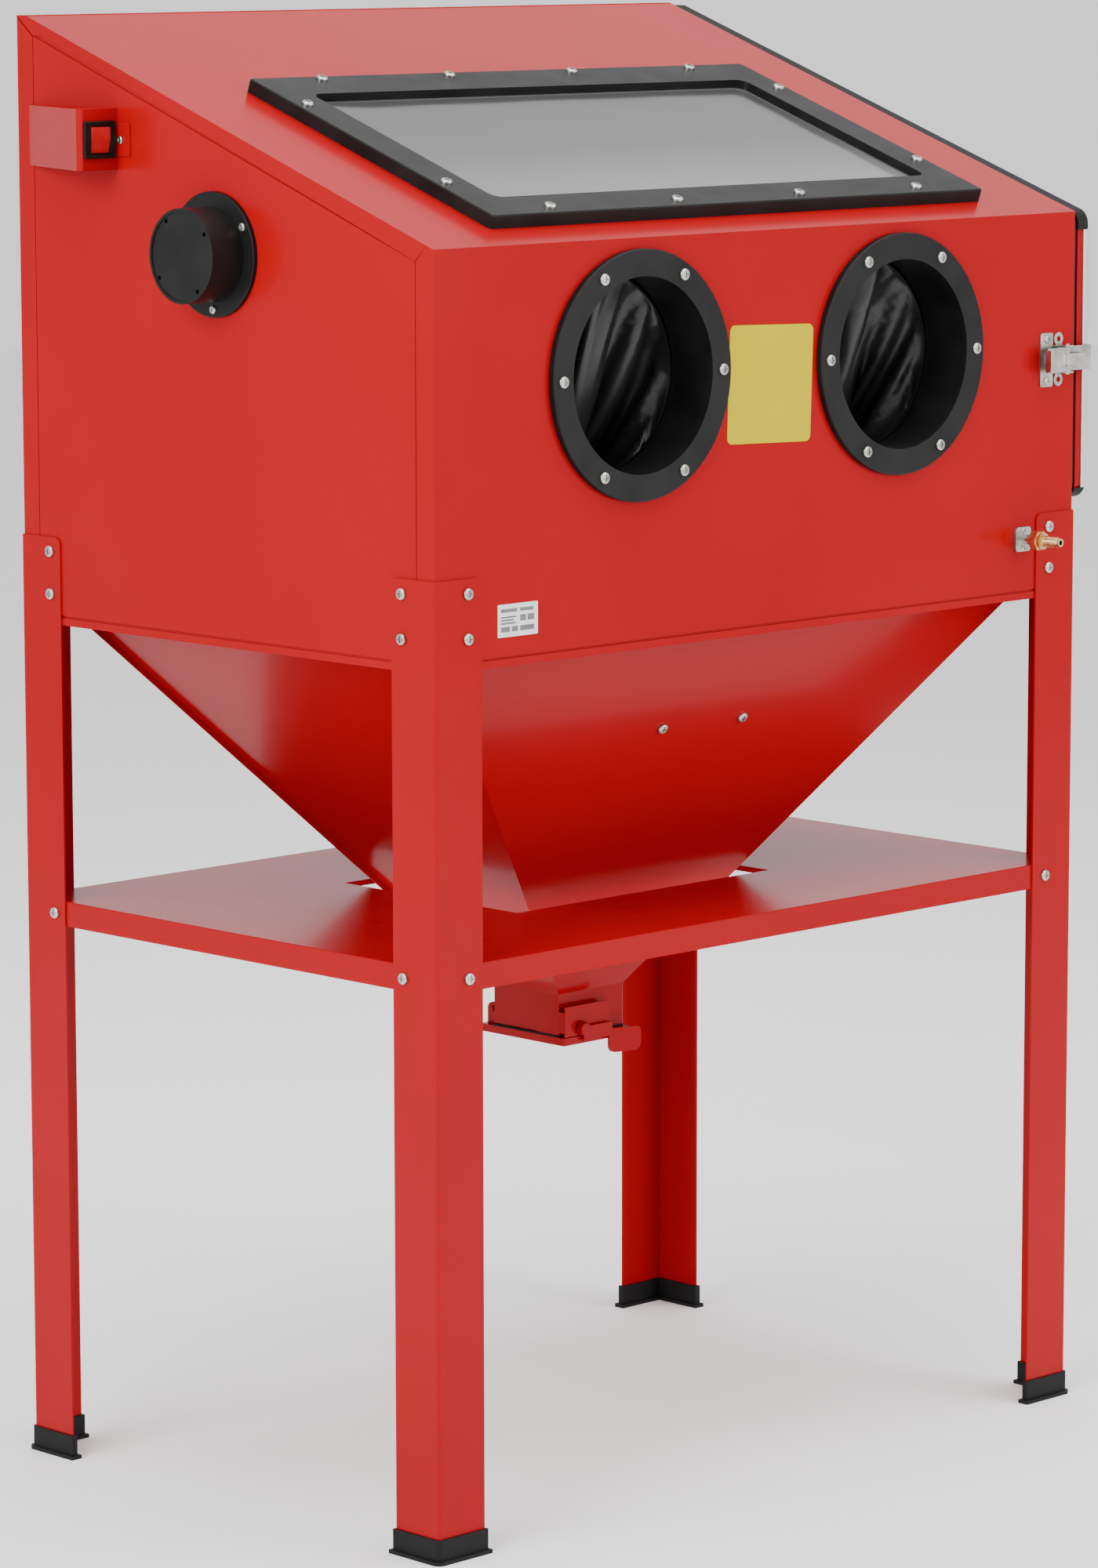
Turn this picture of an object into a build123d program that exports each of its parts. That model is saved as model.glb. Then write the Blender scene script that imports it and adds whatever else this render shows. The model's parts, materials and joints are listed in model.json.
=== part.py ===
"""Floor-standing sandblast cabinet: sheet-metal chamber on angle legs, with hopper, door, window and gloves.

Millimetres, +Z up, front towards -Y, origin on the floor in the middle of the whole object's box.
"""
from build123d import *
from math import cos, hypot, radians, sin, tan
import os

os.makedirs("parts", exist_ok=True)

LOW = (Align.CENTER, Align.CENTER, Align.MIN)

# ---- Driving dimensions -------------------------------------------------------------------------
# Legs and shell
frame_w = 940.0             # outer width of the leg rectangle
frame_d = 617.0             # outer depth of the leg rectangle
leg_t = 2.0
leg_flange_x = 62.0
leg_flange_y = 61.0
leg_top = 968.0
leg_bend_r = 3.0
leg_corner_r = 8.0
sheet = 1.5
shell_bottom = 888.0
front_top = 1284.5          # height of the bend between front and sloping top
slope_angle = 19.5
top_flat = 14.0             # level strip behind the slope
side_wrap = 25.0            # front and back sheets lap round the sides
top_wrap = 20.0             # sloping sheet laps down the sides
seam_gap = 0.8
fit_gap = 0.3               # between faces of pieces that move apart
touch_gap = 0.1             # between a screw's shank and its hole

# Feet
foot_h = 25.0
foot_floor = 3.0
foot_wall = 2.5
foot_lip = 3.0
foot_lip_h = 4.0

# Shelf
shelf_top = 591.0
shelf_t = 1.2
shelf_flange = 26.0
shelf_hole_w = 374.0
shelf_hole_d = 260.0
shelf_hole_lip = 6.0

# Hopper and outlet
rim_low = 878.0
rim_band_gap = 2.5          # shadow gap between the shell and the rim's outer band
rim_high = 905.0
hopper_top_w = 837.0
hopper_top_d = 530.6
outlet_w = 96.0
outlet_d = 98.0
outlet_top = 477.0
outlet_low = 433.0
outlet_channel = 33.4       # side flange of the front half of the outlet box
hopper_seam = 9.0           # welded flange of the back wall, outside the side walls
hopper_screw_x = 59.0
hopper_screw_up = 340.0

# Dump door under the outlet
dump_t = 8.0
dump_gasket_t = 1.7
dump_overhang = 10.0
dump_axis_back = 8.0        # hinge axis behind the outlet's back face
dump_axis_up = 14.0         # hinge axis above the outlet's lower edge
dump_pin_r = 3.0
dump_barrel_r = 7.0
clamp_w = 66.0
clamp_h = 28.0
clamp_stand = 10.0

# Screws
head_r = 6.0
head_h = 3.6
shank_r = 2.5
cross_w = 1.5
small_head_r = 4.2
small_head_h = 2.4
small_shank_r = 1.9

# Window in the slope
window_w = 714.0
window_h = 372.0
window_low = 40.0           # lower edge of the frame above the front bend, along the slope
window_t = 14.0
view_w = 628.0
view_h = 281.0
view_low = 84.0
view_r = 12.0
glass_t = 4.0
glass_lap = 22.0
seal_t = 1.0
window_screw_pitch = 178.0
window_side_screws = (85.5, 297.5)
window_edge = 12.0

# Glove ports
port_x = 190.5
port_z = 1149.4
ring_r = 124.5
ring_bore_r = 97.5
ring_t = 7.0
ring_screw_r = 111.8
collar_t = 2.5
collar_len = 44.0
cuff_t = 2.0
band_t = 1.2
band_w = 12.0
glove_start = 52.0

# Dust port on the left side
dust_y = 5.0                # from the cabinet's middle plane
dust_z = 1267.0
dust_flange_r = 62.0
dust_flange_t = 5.0
dust_spigot_r = 47.0
dust_wall = 3.0
dust_len = 45.0
dust_cap_t = 4.0
dust_cap_hole_r = 2.3
dust_cap_pitch_r = 40.5
dust_screw_r = 54.0

# Switch on the left side
switch_low = 1345.4
switch_h = 61.0
switch_face_y = 151.0
switch_back_y = 288.5
switch_deep = 47.0
switch_flange = 20.5
switch_screw_out = 6.3      # screw in front of the switch's face
bezel_w = 40.5
bezel_h = 37.0
bezel_in = 2.2              # bezel inside the housing's outer edge
bezel_t = 3.0
rocker_w = 24.0
rocker_h = 28.0
rocker_clear = 0.4

# Right side door
door_low = 979.0
door_edge = 3.0             # door outline inside the side profile
door_gap = 10.0             # seal thickness between side and door
door_t = 16.0
door_sheet = 1.5
door_trim_t = 2.5
door_trim_over = 2.0
door_corner_r = 14.0
door_opening = 34.0         # opening inside the door's outline
strip_low = 990.0
strip_high = 1265.0
strip_w = 8.0
strip_t = 1.5
hinge_r = 6.0
hinge_pin_r = 2.5
hinge_len = 66.0
hinge_leaf_t = 2.0
hinge_leaf_w = 34.0
hinge_low = 1065.0
hinge_high = 1390.0
pin_clear = 0.05

# Latch on the front
latch_z = 1130.0
ear_w = 20.0
ear_h = 57.0
ear_x = 422.0
latch_x = 448.0             # pivot of the lever, from the cabinet's middle plane
latch_out = 8.0
latch_plate_t = 1.5
latch_pin_r = 2.0
claw_pin_r = 1.6
lever_half = 13.0
lever_reach = 38.0
claw_back = 9.0
claw_reach = 26.0

# Air inlet, plates
inlet_x = 384.7
inlet_z = 943.0
inlet_flange_t = 4.0
inlet_body_r = 5.5
inlet_body_end = 19.0
inlet_hex_end = 28.0
inlet_hex_r = 11.0
inlet_end = 55.5
inlet_bore_r = 2.5
label_w = 122.0
label_h = 119.0
label_t = 0.6
rating_w = 54.0
rating_h = 32.0

# Inside
grid_t = 6.0
grid_bar = 5.0
grid_pitch = 36.0
lamp_w = 420.0
gun_x = -150.0
gun_z = 1180.0

# ---- Derived places -----------------------------------------------------------------------------
half_w = frame_w / 2 - leg_t
half_d = frame_d / 2 - leg_t
door_in = half_w + door_gap
door_out = door_in + door_t
hinge_x = door_out - hinge_r / 2
hinge_y = half_d + hinge_r
left_reach = half_w + max(dust_len, switch_deep)
right_reach = hinge_x + hinge_r
front_reach = half_d + inlet_end
back_reach = hinge_y + hinge_r
x_mid = (left_reach - right_reach) / 2
y_mid = (front_reach - back_reach) / 2
x_l, x_r = x_mid - half_w, x_mid + half_w
y_f, y_b = y_mid - half_d, y_mid + half_d
slope = radians(slope_angle)
slope_run = 2 * half_d - top_flat
top_z = front_top + slope_run * tan(slope)
slope_len = slope_run / cos(slope)


def facing_front(y):
    """Plane facing -Y: local x is +X from the middle, local y is height."""
    return Plane(origin=(x_mid, y, 0), x_dir=(1, 0, 0), z_dir=(0, -1, 0))


def facing_back(y):
    """Plane facing +Y: local x is -X from the middle, local y is height."""
    return Plane(origin=(x_mid, y, 0), x_dir=(-1, 0, 0), z_dir=(0, 1, 0))


def facing_left(x):
    """Plane facing -X: local x is -Y from the middle, local y is height."""
    return Plane(origin=(x, y_mid, 0), x_dir=(0, -1, 0), z_dir=(-1, 0, 0))


def facing_right(x):
    """Plane facing +X: local x is +Y from the middle, local y is height."""
    return Plane(origin=(x, y_mid, 0), x_dir=(0, 1, 0), z_dir=(1, 0, 0))


def level(z):
    """Plane facing +Z at a height, centred on the cabinet."""
    return Plane(origin=(x_mid, y_mid, z), x_dir=(1, 0, 0), z_dir=(0, 0, 1))


def on_slope(out=0.0):
    """Plane of the sloping top: local x is +X, local y runs up the slope from the front bend."""
    return Plane(
        origin=(x_mid, y_f - out * sin(slope), front_top + out * cos(slope)),
        x_dir=(1, 0, 0),
        z_dir=(0, -sin(slope), cos(slope)),
    )


def pan_screws(plane, spots, shank, r=head_r, h=head_h, core=shank_r):
    """Cross-recessed pan-head screws, heads standing on the plane and shanks behind it."""
    with BuildPart() as screws:
        with BuildSketch(plane):
            with Locations(*spots):
                Circle(r)
        extrude(amount=h)
        tops = screws.faces().filter_by(lambda f: f.normal_at().dot(plane.z_dir) > 0.9)
        fillet(tops.edges(), h * 0.6)
        with BuildSketch(plane.offset(h)):
            with Locations(*spots):
                Rectangle(r * 1.1, cross_w)
                Rectangle(cross_w, r * 1.1)
        extrude(amount=-h / 2, mode=Mode.SUBTRACT)
        with BuildSketch(plane):
            with Locations(*spots):
                Circle(core)
        extrude(amount=-shank)
    return screws


def punch(plane, spots, r, deep=2 * leg_t + sheet):
    """Round bars through a plane, for cutting holes."""
    with BuildPart() as bars:
        with BuildSketch(plane):
            with Locations(*spots):
                Circle(r)
        extrude(amount=deep, both=True)
    return bars.part


def side_outline(inset, low):
    """Points (y from the middle, z) of the chamber's side, moved inwards, down to a level edge."""
    front, back = -half_d + inset, half_d - inset
    at_front = front_top + inset * tan(slope) - inset / cos(slope)
    level_top = top_z - inset
    break_y = front + (level_top - at_front) / tan(slope)
    if break_y < back:
        return [(front, low), (front, at_front), (break_y, level_top), (back, level_top), (back, low)]
    at_back = at_front + (back - front) * tan(slope)
    return [(front, low), (front, at_front), (back, at_back), (back, low)]


# ---- Chamber sheets -----------------------------------------------------------------------------
ring_angles = range(0, 360, 60)
window_mid = window_low + window_h / 2
port_spots = [(-port_x, port_z), (port_x, port_z)]
ring_spots = [
    (px + ring_screw_r * cos(radians(a)), port_z + ring_screw_r * sin(radians(a)))
    for px, _ in port_spots
    for a in ring_angles
]
window_spots = [
    (k * window_screw_pitch, s)
    for k in (-1.5, -0.5, 0.5, 1.5)
    for s in (window_low + window_edge + shank_r, window_low + window_h - window_edge + shank_r)
] + [
    (side * (window_w / 2 - window_edge - shank_r), window_low + s)
    for side in (-1, 1)
    for s in window_side_screws
]
collar_r = ring_bore_r + collar_t
leg_screw_z = (909.5, 953.3)
leg_screw_in = 43.0         # from the leg's outer corner, across the front flange
leg_screw_in_y = 46.0       # the same across the side flange
front_leg_spots = [
    (side * (frame_w / 2 - leg_screw_in), z) for side in (-1, 1) for z in leg_screw_z
]
side_leg_spots = [
    (side * (frame_d / 2 - leg_screw_in_y), z) for side in (-1, 1) for z in leg_screw_z
]
mitre_z = front_top + side_wrap * tan(slope) - top_wrap / cos(slope)
back_mitre_z = top_z - top_wrap
lap_up = top_wrap / 3        # side sheet tucked up behind the top sheet's flange
tuck_low = rim_high + fit_gap
bend_lip = 10.0             # short return of the front sheet onto the slope
hole_r = shank_r + touch_gap
small_hole_r = small_shank_r + touch_gap
latch_screw_spots = [(ear_x, latch_z + side * (ear_h / 2 - ear_w / 3)) for side in (-1, 1)]
punch_latch_screws = punch(facing_front(y_f), latch_screw_spots, small_hole_r)
punch_front_ports = punch(facing_front(y_f), port_spots, collar_r + fit_gap)
punch_ring_screws = punch(facing_front(y_f), ring_spots, hole_r, ring_t + sheet)
punch_inlet = punch(facing_front(y_f), [(inlet_x, inlet_z)], inlet_body_r - 1)
punch_window_screws = punch(on_slope(), window_spots, hole_r, window_t + sheet)
punch_legs_x = punch(facing_right(x_mid), side_leg_spots, hole_r, half_w + 2 * leg_t)
punch_legs_y = punch(facing_front(y_mid), front_leg_spots, hole_r, half_d + 2 * leg_t)

with BuildPart() as front_panel:
    with BuildSketch(facing_right(x_l)):
        with BuildLine():
            Polyline(
                (-half_d, shell_bottom),
                (-half_d, front_top),
                (-half_d + bend_lip * cos(slope), front_top + bend_lip * sin(slope)),
                (-half_d + (bend_lip + sheet * tan(slope)) * cos(slope), front_top
                 + bend_lip * sin(slope) - sheet * cos(slope)),
                (-half_d + sheet, front_top - sheet * (1 / cos(slope) - tan(slope))),
                (-half_d + sheet, shell_bottom),
                close=True,
            )
        make_face()
    extrude(amount=2 * half_w)
    for plane, inward in ((facing_right(x_l), 1), (facing_right(x_r), -1)):
        with BuildSketch(plane):
            with BuildLine():
                Polyline(
                    (-half_d, shell_bottom),
                    (-half_d, front_top),
                    (-half_d + bend_lip * cos(slope), front_top + bend_lip * sin(slope)),
                    (-half_d + side_wrap, mitre_z),
                    (-half_d + side_wrap, shell_bottom),
                    close=True,
                )
            make_face()
        extrude(amount=inward * sheet)
    bends = front_panel.edges().filter_by(Axis.Z).group_by(Axis.Y)[0]
    fillet(bends, sheet)
    add(punch_front_ports, mode=Mode.SUBTRACT)
    add(punch_ring_screws, mode=Mode.SUBTRACT)
    add(punch_latch_screws, mode=Mode.SUBTRACT)
    add(punch_legs_y, mode=Mode.SUBTRACT)
    add(punch_inlet, mode=Mode.SUBTRACT)
front_panel.part.label = "front_panel"
export_step(front_panel.part, "parts/front_panel.step")

with BuildPart() as top_panel:
    with BuildSketch(on_slope()):
        with Locations((0, (bend_lip + slope_len) / 2)):
            Rectangle(2 * half_w, slope_len - bend_lip)
    extrude(amount=-sheet)
    with BuildSketch(level(top_z)):
        with Locations((0, half_d - top_flat / 2 - sheet / 2)):
            Rectangle(2 * half_w, top_flat + sheet)
    extrude(amount=-sheet)
    for plane, inward in ((facing_right(x_l), 1), (facing_right(x_r), -1)):
        with BuildSketch(plane):
            with BuildLine():
                Polyline(
                    (-half_d + bend_lip * cos(slope), front_top + bend_lip * sin(slope)),
                    (half_d - top_flat, top_z),
                    (half_d, top_z),
                    (half_d - side_wrap, back_mitre_z),
                    (half_d - side_wrap - top_flat, back_mitre_z),
                    (-half_d + side_wrap + seam_gap, mitre_z + seam_gap * tan(slope)),
                    close=True,
                )
            make_face()
        extrude(amount=inward * sheet)
    split(bisect_by=Plane(
        origin=(x_mid, y_f + bend_lip * cos(slope), front_top + bend_lip * sin(slope)),
        z_dir=(0, cos(slope), sin(slope)),
    ), keep=Keep.TOP)
    with BuildSketch(on_slope()):
        with Locations((0, view_low + view_h / 2)):
            RectangleRounded(view_w + 2 * fit_gap, view_h + 2 * fit_gap, view_r)
    extrude(amount=sheet * 2, both=True, mode=Mode.SUBTRACT)
    add(punch_window_screws, mode=Mode.SUBTRACT)
top_panel.part.label = "top_panel"
export_step(top_panel.part, "parts/top_panel.step")

dust_spots = [
    (dust_y + dust_screw_r * cos(radians(a)), dust_z + dust_screw_r * sin(radians(a)))
    for a in (148, 28, -92)
]
punch_dust_bore = punch(facing_right(x_l), [(dust_y, dust_z)], dust_spigot_r - dust_wall)
punch_dust_screws = punch(facing_right(x_l), dust_spots, small_hole_r)
switch_screw = (switch_face_y - switch_screw_out, switch_low + switch_h * 0.485)
punch_switch_screw = punch(facing_right(x_l), [switch_screw], small_hole_r)

with BuildPart() as left_panel:
    panel_front = -half_d + side_wrap + seam_gap
    panel_back = half_d - side_wrap - seam_gap
    with BuildSketch(facing_right(x_l)):
        with BuildLine():
            Polyline(
                (panel_front, shell_bottom),
                (panel_front, mitre_z),
                (panel_back - top_flat, back_mitre_z - seam_gap - top_flat * tan(slope)),
                (panel_back, back_mitre_z - seam_gap),
                (panel_back, shell_bottom),
                close=True,
            )
        make_face()
    extrude(amount=sheet)
    with BuildSketch(facing_right(x_l + sheet)):
        with BuildLine():
            Polyline(
                (panel_front - side_wrap / 2, tuck_low),
                (panel_front - side_wrap / 2, mitre_z),
                (panel_back - top_flat, back_mitre_z + lap_up - top_flat * tan(slope)),
                (panel_back + side_wrap / 2, back_mitre_z + lap_up / 2),
                (panel_back + side_wrap / 2, tuck_low),
                close=True,
            )
        make_face()
    extrude(amount=sheet)
    add(punch_dust_bore, mode=Mode.SUBTRACT)
    add(punch_dust_screws, mode=Mode.SUBTRACT)
    add(punch_switch_screw, mode=Mode.SUBTRACT)
    add(punch_legs_x, mode=Mode.SUBTRACT)
left_panel.part.label = "left_panel"
export_step(left_panel.part, "parts/left_panel.step")

with BuildPart() as back_panel:
    with BuildSketch(facing_back(y_b)):
        with Locations((0, (shell_bottom + top_z - sheet) / 2)):
            Rectangle(2 * half_w, top_z - sheet - shell_bottom)
    extrude(amount=-sheet)
    for plane, inward in ((facing_right(x_l), 1), (facing_right(x_r), -1)):
        with BuildSketch(plane):
            with BuildLine():
                Polyline(
                    (half_d, shell_bottom),
                    (half_d - side_wrap, shell_bottom),
                    (half_d - side_wrap, back_mitre_z - sheet),
                    (half_d, top_z - sheet),
                    close=True,
                )
            make_face()
        extrude(amount=inward * sheet)
    fillet(back_panel.edges().filter_by(Axis.Z).group_by(Axis.Y)[-1], sheet * 0.8)
    add(punch_legs_y, mode=Mode.SUBTRACT)
back_panel.part.label = "back_panel"
export_step(back_panel.part, "parts/back_panel.step")

# ---- Right side: frame round the door opening, seal, door, hinges --------------------------------
with BuildPart() as right_frame:
    with BuildSketch(facing_right(x_r)) as opening_sheet:
        with BuildLine():
            Polyline(
                (panel_front, shell_bottom),
                (panel_front, mitre_z),
                (panel_back - top_flat, back_mitre_z - seam_gap - top_flat * tan(slope)),
                (panel_back, back_mitre_z - seam_gap),
                (panel_back, shell_bottom),
                close=True,
            )
        make_face()
        with BuildLine():
            Polyline(*side_outline(door_edge + door_opening, door_low + door_opening), close=True)
        make_face(mode=Mode.SUBTRACT)
    extrude(amount=-sheet)
    add(punch_legs_x, mode=Mode.SUBTRACT)
right_frame.part.label = "right_frame"
export_step(right_frame.part, "parts/right_frame.step")

seal_in = door_edge + door_trim_t + fit_gap      # seal's outer edge inside the side profile
seal_w = 12.0
with BuildPart() as door_seal:
    with BuildSketch(facing_right(x_r)) as seal_ring:
        with BuildLine():
            Polyline(*side_outline(seal_in, door_low + seal_in - door_edge), close=True)
        make_face()
        fillet(seal_ring.vertices().sort_by(Axis.X)[:2], door_corner_r)
        with BuildLine():
            Polyline(*side_outline(seal_in + seal_w, door_low + seal_in + seal_w - door_edge), close=True)
        make_face(mode=Mode.SUBTRACT)
    extrude(amount=door_gap - fit_gap)
    fillet(door_seal.faces().sort_by(Axis.X)[-1].edges(), seal_w / 4)
door_seal.part.label = "door_seal"
export_step(door_seal.part, "parts/door_seal.step")

tray_in = door_edge + door_trim_t
with BuildPart() as door_panel:
    with BuildSketch(facing_right(x_mid + door_in)) as tray_outline:
        with BuildLine():
            Polyline(*side_outline(tray_in, door_low + door_trim_t), close=True)
        make_face()
        fillet(tray_outline.vertices().sort_by(Axis.X)[:2], door_corner_r)
    extrude(amount=door_t)
    with BuildSketch(facing_right(x_mid + door_in)) as tray_hollow:
        with BuildLine():
            Polyline(*side_outline(tray_in + door_sheet, door_low + door_trim_t + door_sheet), close=True)
        make_face()
        fillet(tray_hollow.vertices().sort_by(Axis.X)[:2], door_corner_r - door_sheet)
    extrude(amount=door_t - door_sheet, mode=Mode.SUBTRACT)
    fillet(door_panel.faces().sort_by(Axis.X)[-1].edges(), door_sheet * 0.6)
door_panel.part.label = "door_panel"
export_step(door_panel.part, "parts/door_panel.step")

with BuildPart() as door_trim:
    with BuildSketch(facing_right(x_mid + door_in - door_trim_over)) as trim_ring:
        with BuildLine():
            Polyline(*side_outline(door_edge, door_low), close=True)
        make_face()
        fillet(trim_ring.vertices().sort_by(Axis.X)[:2], door_corner_r + door_trim_t)
    extrude(amount=door_t)
    with BuildSketch(facing_right(x_mid + door_in - door_trim_over)) as trim_hollow:
        with BuildLine():
            Polyline(*side_outline(tray_in, door_low + door_trim_t), close=True)
        make_face()
        fillet(trim_hollow.vertices().sort_by(Axis.X)[:2], door_corner_r)
    extrude(amount=door_t, mode=Mode.SUBTRACT)
    with BuildSketch(facing_right(x_mid + door_in - door_trim_over)):
        with Locations((-half_d + door_edge, (strip_low + strip_high) / 2)):
            Rectangle(4 * door_trim_t, strip_high - strip_low)
    extrude(amount=door_t, mode=Mode.SUBTRACT)
door_trim.part.label = "door_trim"
export_step(door_trim.part, "parts/door_trim.step")

strip_z = (strip_low + strip_high) / 2
strip_h = strip_high - strip_low - 2 * fit_gap
strip_return = 22.0         # edge strip laps round the door's outer face
with BuildPart() as door_strip:
    with BuildSketch(level(strip_z - strip_h / 2)):
        with BuildLine():
            Polyline(
                (door_out - strip_w, -half_d + door_edge),
                (door_out + strip_t, -half_d + door_edge),
                (door_out + strip_t, -half_d + door_edge + strip_return),
                (door_out, -half_d + door_edge + strip_return),
                (door_out, -half_d + tray_in),
                (door_out - strip_w, -half_d + tray_in),
                close=True,
            )
        make_face()
    extrude(amount=strip_h)
    fillet(door_strip.edges().filter_by(Axis.Z).group_by(Axis.Y)[0], strip_t * 0.8)
door_strip.part.label = "door_strip"
export_step(door_strip.part, "parts/door_strip.step")

keeper_h = 26.0
keeper_out = 1.5            # gap between the front sheet and the keeper
keeper_in_x = 456.0
with BuildPart() as door_keeper:
    with BuildSketch(level(latch_z - keeper_h / 2)):
        with BuildLine():
            Polyline(
                (keeper_in_x, -half_d - keeper_out - latch_plate_t),
                (door_out - latch_plate_t, -half_d - keeper_out - latch_plate_t),
                (door_out - latch_plate_t, -half_d + door_edge),
                (door_out - strip_w + latch_plate_t, -half_d + door_edge),
                (door_out - strip_w + latch_plate_t, -half_d - keeper_out),
                (keeper_in_x, -half_d - keeper_out),
                close=True,
            )
        make_face()
    extrude(amount=keeper_h)
    fillet(door_keeper.edges().filter_by(Axis.Y).group_by(Axis.X)[0], 3)
door_keeper.part.label = "door_keeper"
export_step(door_keeper.part, "parts/door_keeper.step")

knuckle = hinge_len / 3
hinge_heights = (hinge_low, hinge_high)
with BuildPart() as hinge_leaves_fixed:
    for z in hinge_heights:
        with BuildSketch(level(z - hinge_len / 2)):
            with Locations((hinge_x - hinge_r - fit_gap - hinge_leaf_w / 2, half_d + hinge_leaf_t / 2)):
                Rectangle(hinge_leaf_w, hinge_leaf_t)
        extrude(amount=hinge_len)
        with BuildSketch(level(z - knuckle / 2 + fit_gap)):
            with Locations((hinge_x, hinge_y)):
                Circle(hinge_r)
            with Locations((hinge_x - hinge_r, half_d + hinge_leaf_t / 2)):
                Rectangle(2 * hinge_r, hinge_leaf_t)
            with Locations((hinge_x, hinge_y)):
                Circle(hinge_pin_r, mode=Mode.SUBTRACT)
        extrude(amount=knuckle - 2 * fit_gap)
hinge_leaves_fixed.part.label = "hinge_leaves_fixed"
export_step(hinge_leaves_fixed.part, "parts/hinge_leaves_fixed.step")

with BuildPart() as hinge_leaves_door:
    for z in hinge_heights:
        with BuildSketch(level(z - hinge_len / 2)):
            with Locations((door_out + hinge_leaf_t / 2, half_d - hinge_leaf_w / 2)):
                Rectangle(hinge_leaf_t, hinge_leaf_w)
        extrude(amount=hinge_len)
        for low in (z - hinge_len / 2, z + knuckle / 2):
            with BuildSketch(level(low)):
                with Locations((hinge_x, hinge_y)):
                    Circle(hinge_r)
                with Locations((door_out + hinge_leaf_t / 2, hinge_y - hinge_r / 2)):
                    Rectangle(hinge_leaf_t, hinge_r)
                with Locations((hinge_x, hinge_y)):
                    Circle(hinge_pin_r + pin_clear, mode=Mode.SUBTRACT)
            extrude(amount=knuckle)
hinge_leaves_door.part.label = "hinge_leaves_door"
export_step(hinge_leaves_door.part, "parts/hinge_leaves_door.step")

with BuildPart() as hinge_pins:
    for z in hinge_heights:
        with BuildSketch(level(z - hinge_len / 2 - fit_gap)):
            with Locations((hinge_x, hinge_y)):
                Circle(hinge_pin_r)
        extrude(amount=hinge_len + 2 * fit_gap)
hinge_pins.part.label = "hinge_pins"
export_step(hinge_pins.part, "parts/hinge_pins.step")

# ---- Latch --------------------------------------------------------------------------------------
latch_y = -half_d - latch_out           # pivot of the lever
plate_y = -half_d - latch_plate_t       # outer face of the base plate
loop_x = 441.0
loop_r = 7.0
loop_hole_r = 3.0
lug_gap = 0.2
lug_low = lever_half + lug_gap
with BuildPart() as latch_base:
    with BuildSketch(facing_front(y_f)) as base_plate:
        with Locations((ear_x, latch_z)):
            RectangleRounded(ear_w, ear_h, 2.5)
        with Locations((ear_x + 17, latch_z)):
            Rectangle(34, 2 * (lug_low + latch_plate_t))
        with Locations((loop_x, latch_z - ear_h / 2 + loop_r), (loop_x, latch_z + ear_h / 2 - loop_r)):
            Circle(loop_r)
        with Locations((loop_x, latch_z - lug_low - loop_r / 3), (loop_x, latch_z + lug_low + loop_r / 3)):
            Rectangle(loop_r * 1.4, loop_r)
        with Locations((loop_x, latch_z - ear_h / 2 + loop_r), (loop_x, latch_z + ear_h / 2 - loop_r)):
            Circle(loop_hole_r, mode=Mode.SUBTRACT)
    extrude(amount=latch_plate_t)
    for low in (latch_z - lug_low - latch_plate_t, latch_z + lug_low):
        with BuildSketch(level(low)):
            with Locations((latch_x - 1, (plate_y + latch_y - 4) / 2)):
                Rectangle(14, abs(plate_y - latch_y + 4))
            with Locations((latch_x, latch_y)):
                Circle(latch_pin_r, mode=Mode.SUBTRACT)
        extrude(amount=latch_plate_t)
    add(punch_latch_screws, mode=Mode.SUBTRACT)
latch_base.part.label = "latch_base"
export_step(latch_base.part, "parts/latch_base.step")

with BuildPart() as latch_pin:
    with BuildSketch(level(latch_z - lug_low - 2 * latch_plate_t)):
        with Locations((latch_x, latch_y)):
            Circle(latch_pin_r)
    extrude(amount=2 * (lug_low + 2 * latch_plate_t))
latch_pin.part.label = "latch_pin"
export_step(latch_pin.part, "parts/latch_pin.step")

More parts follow.
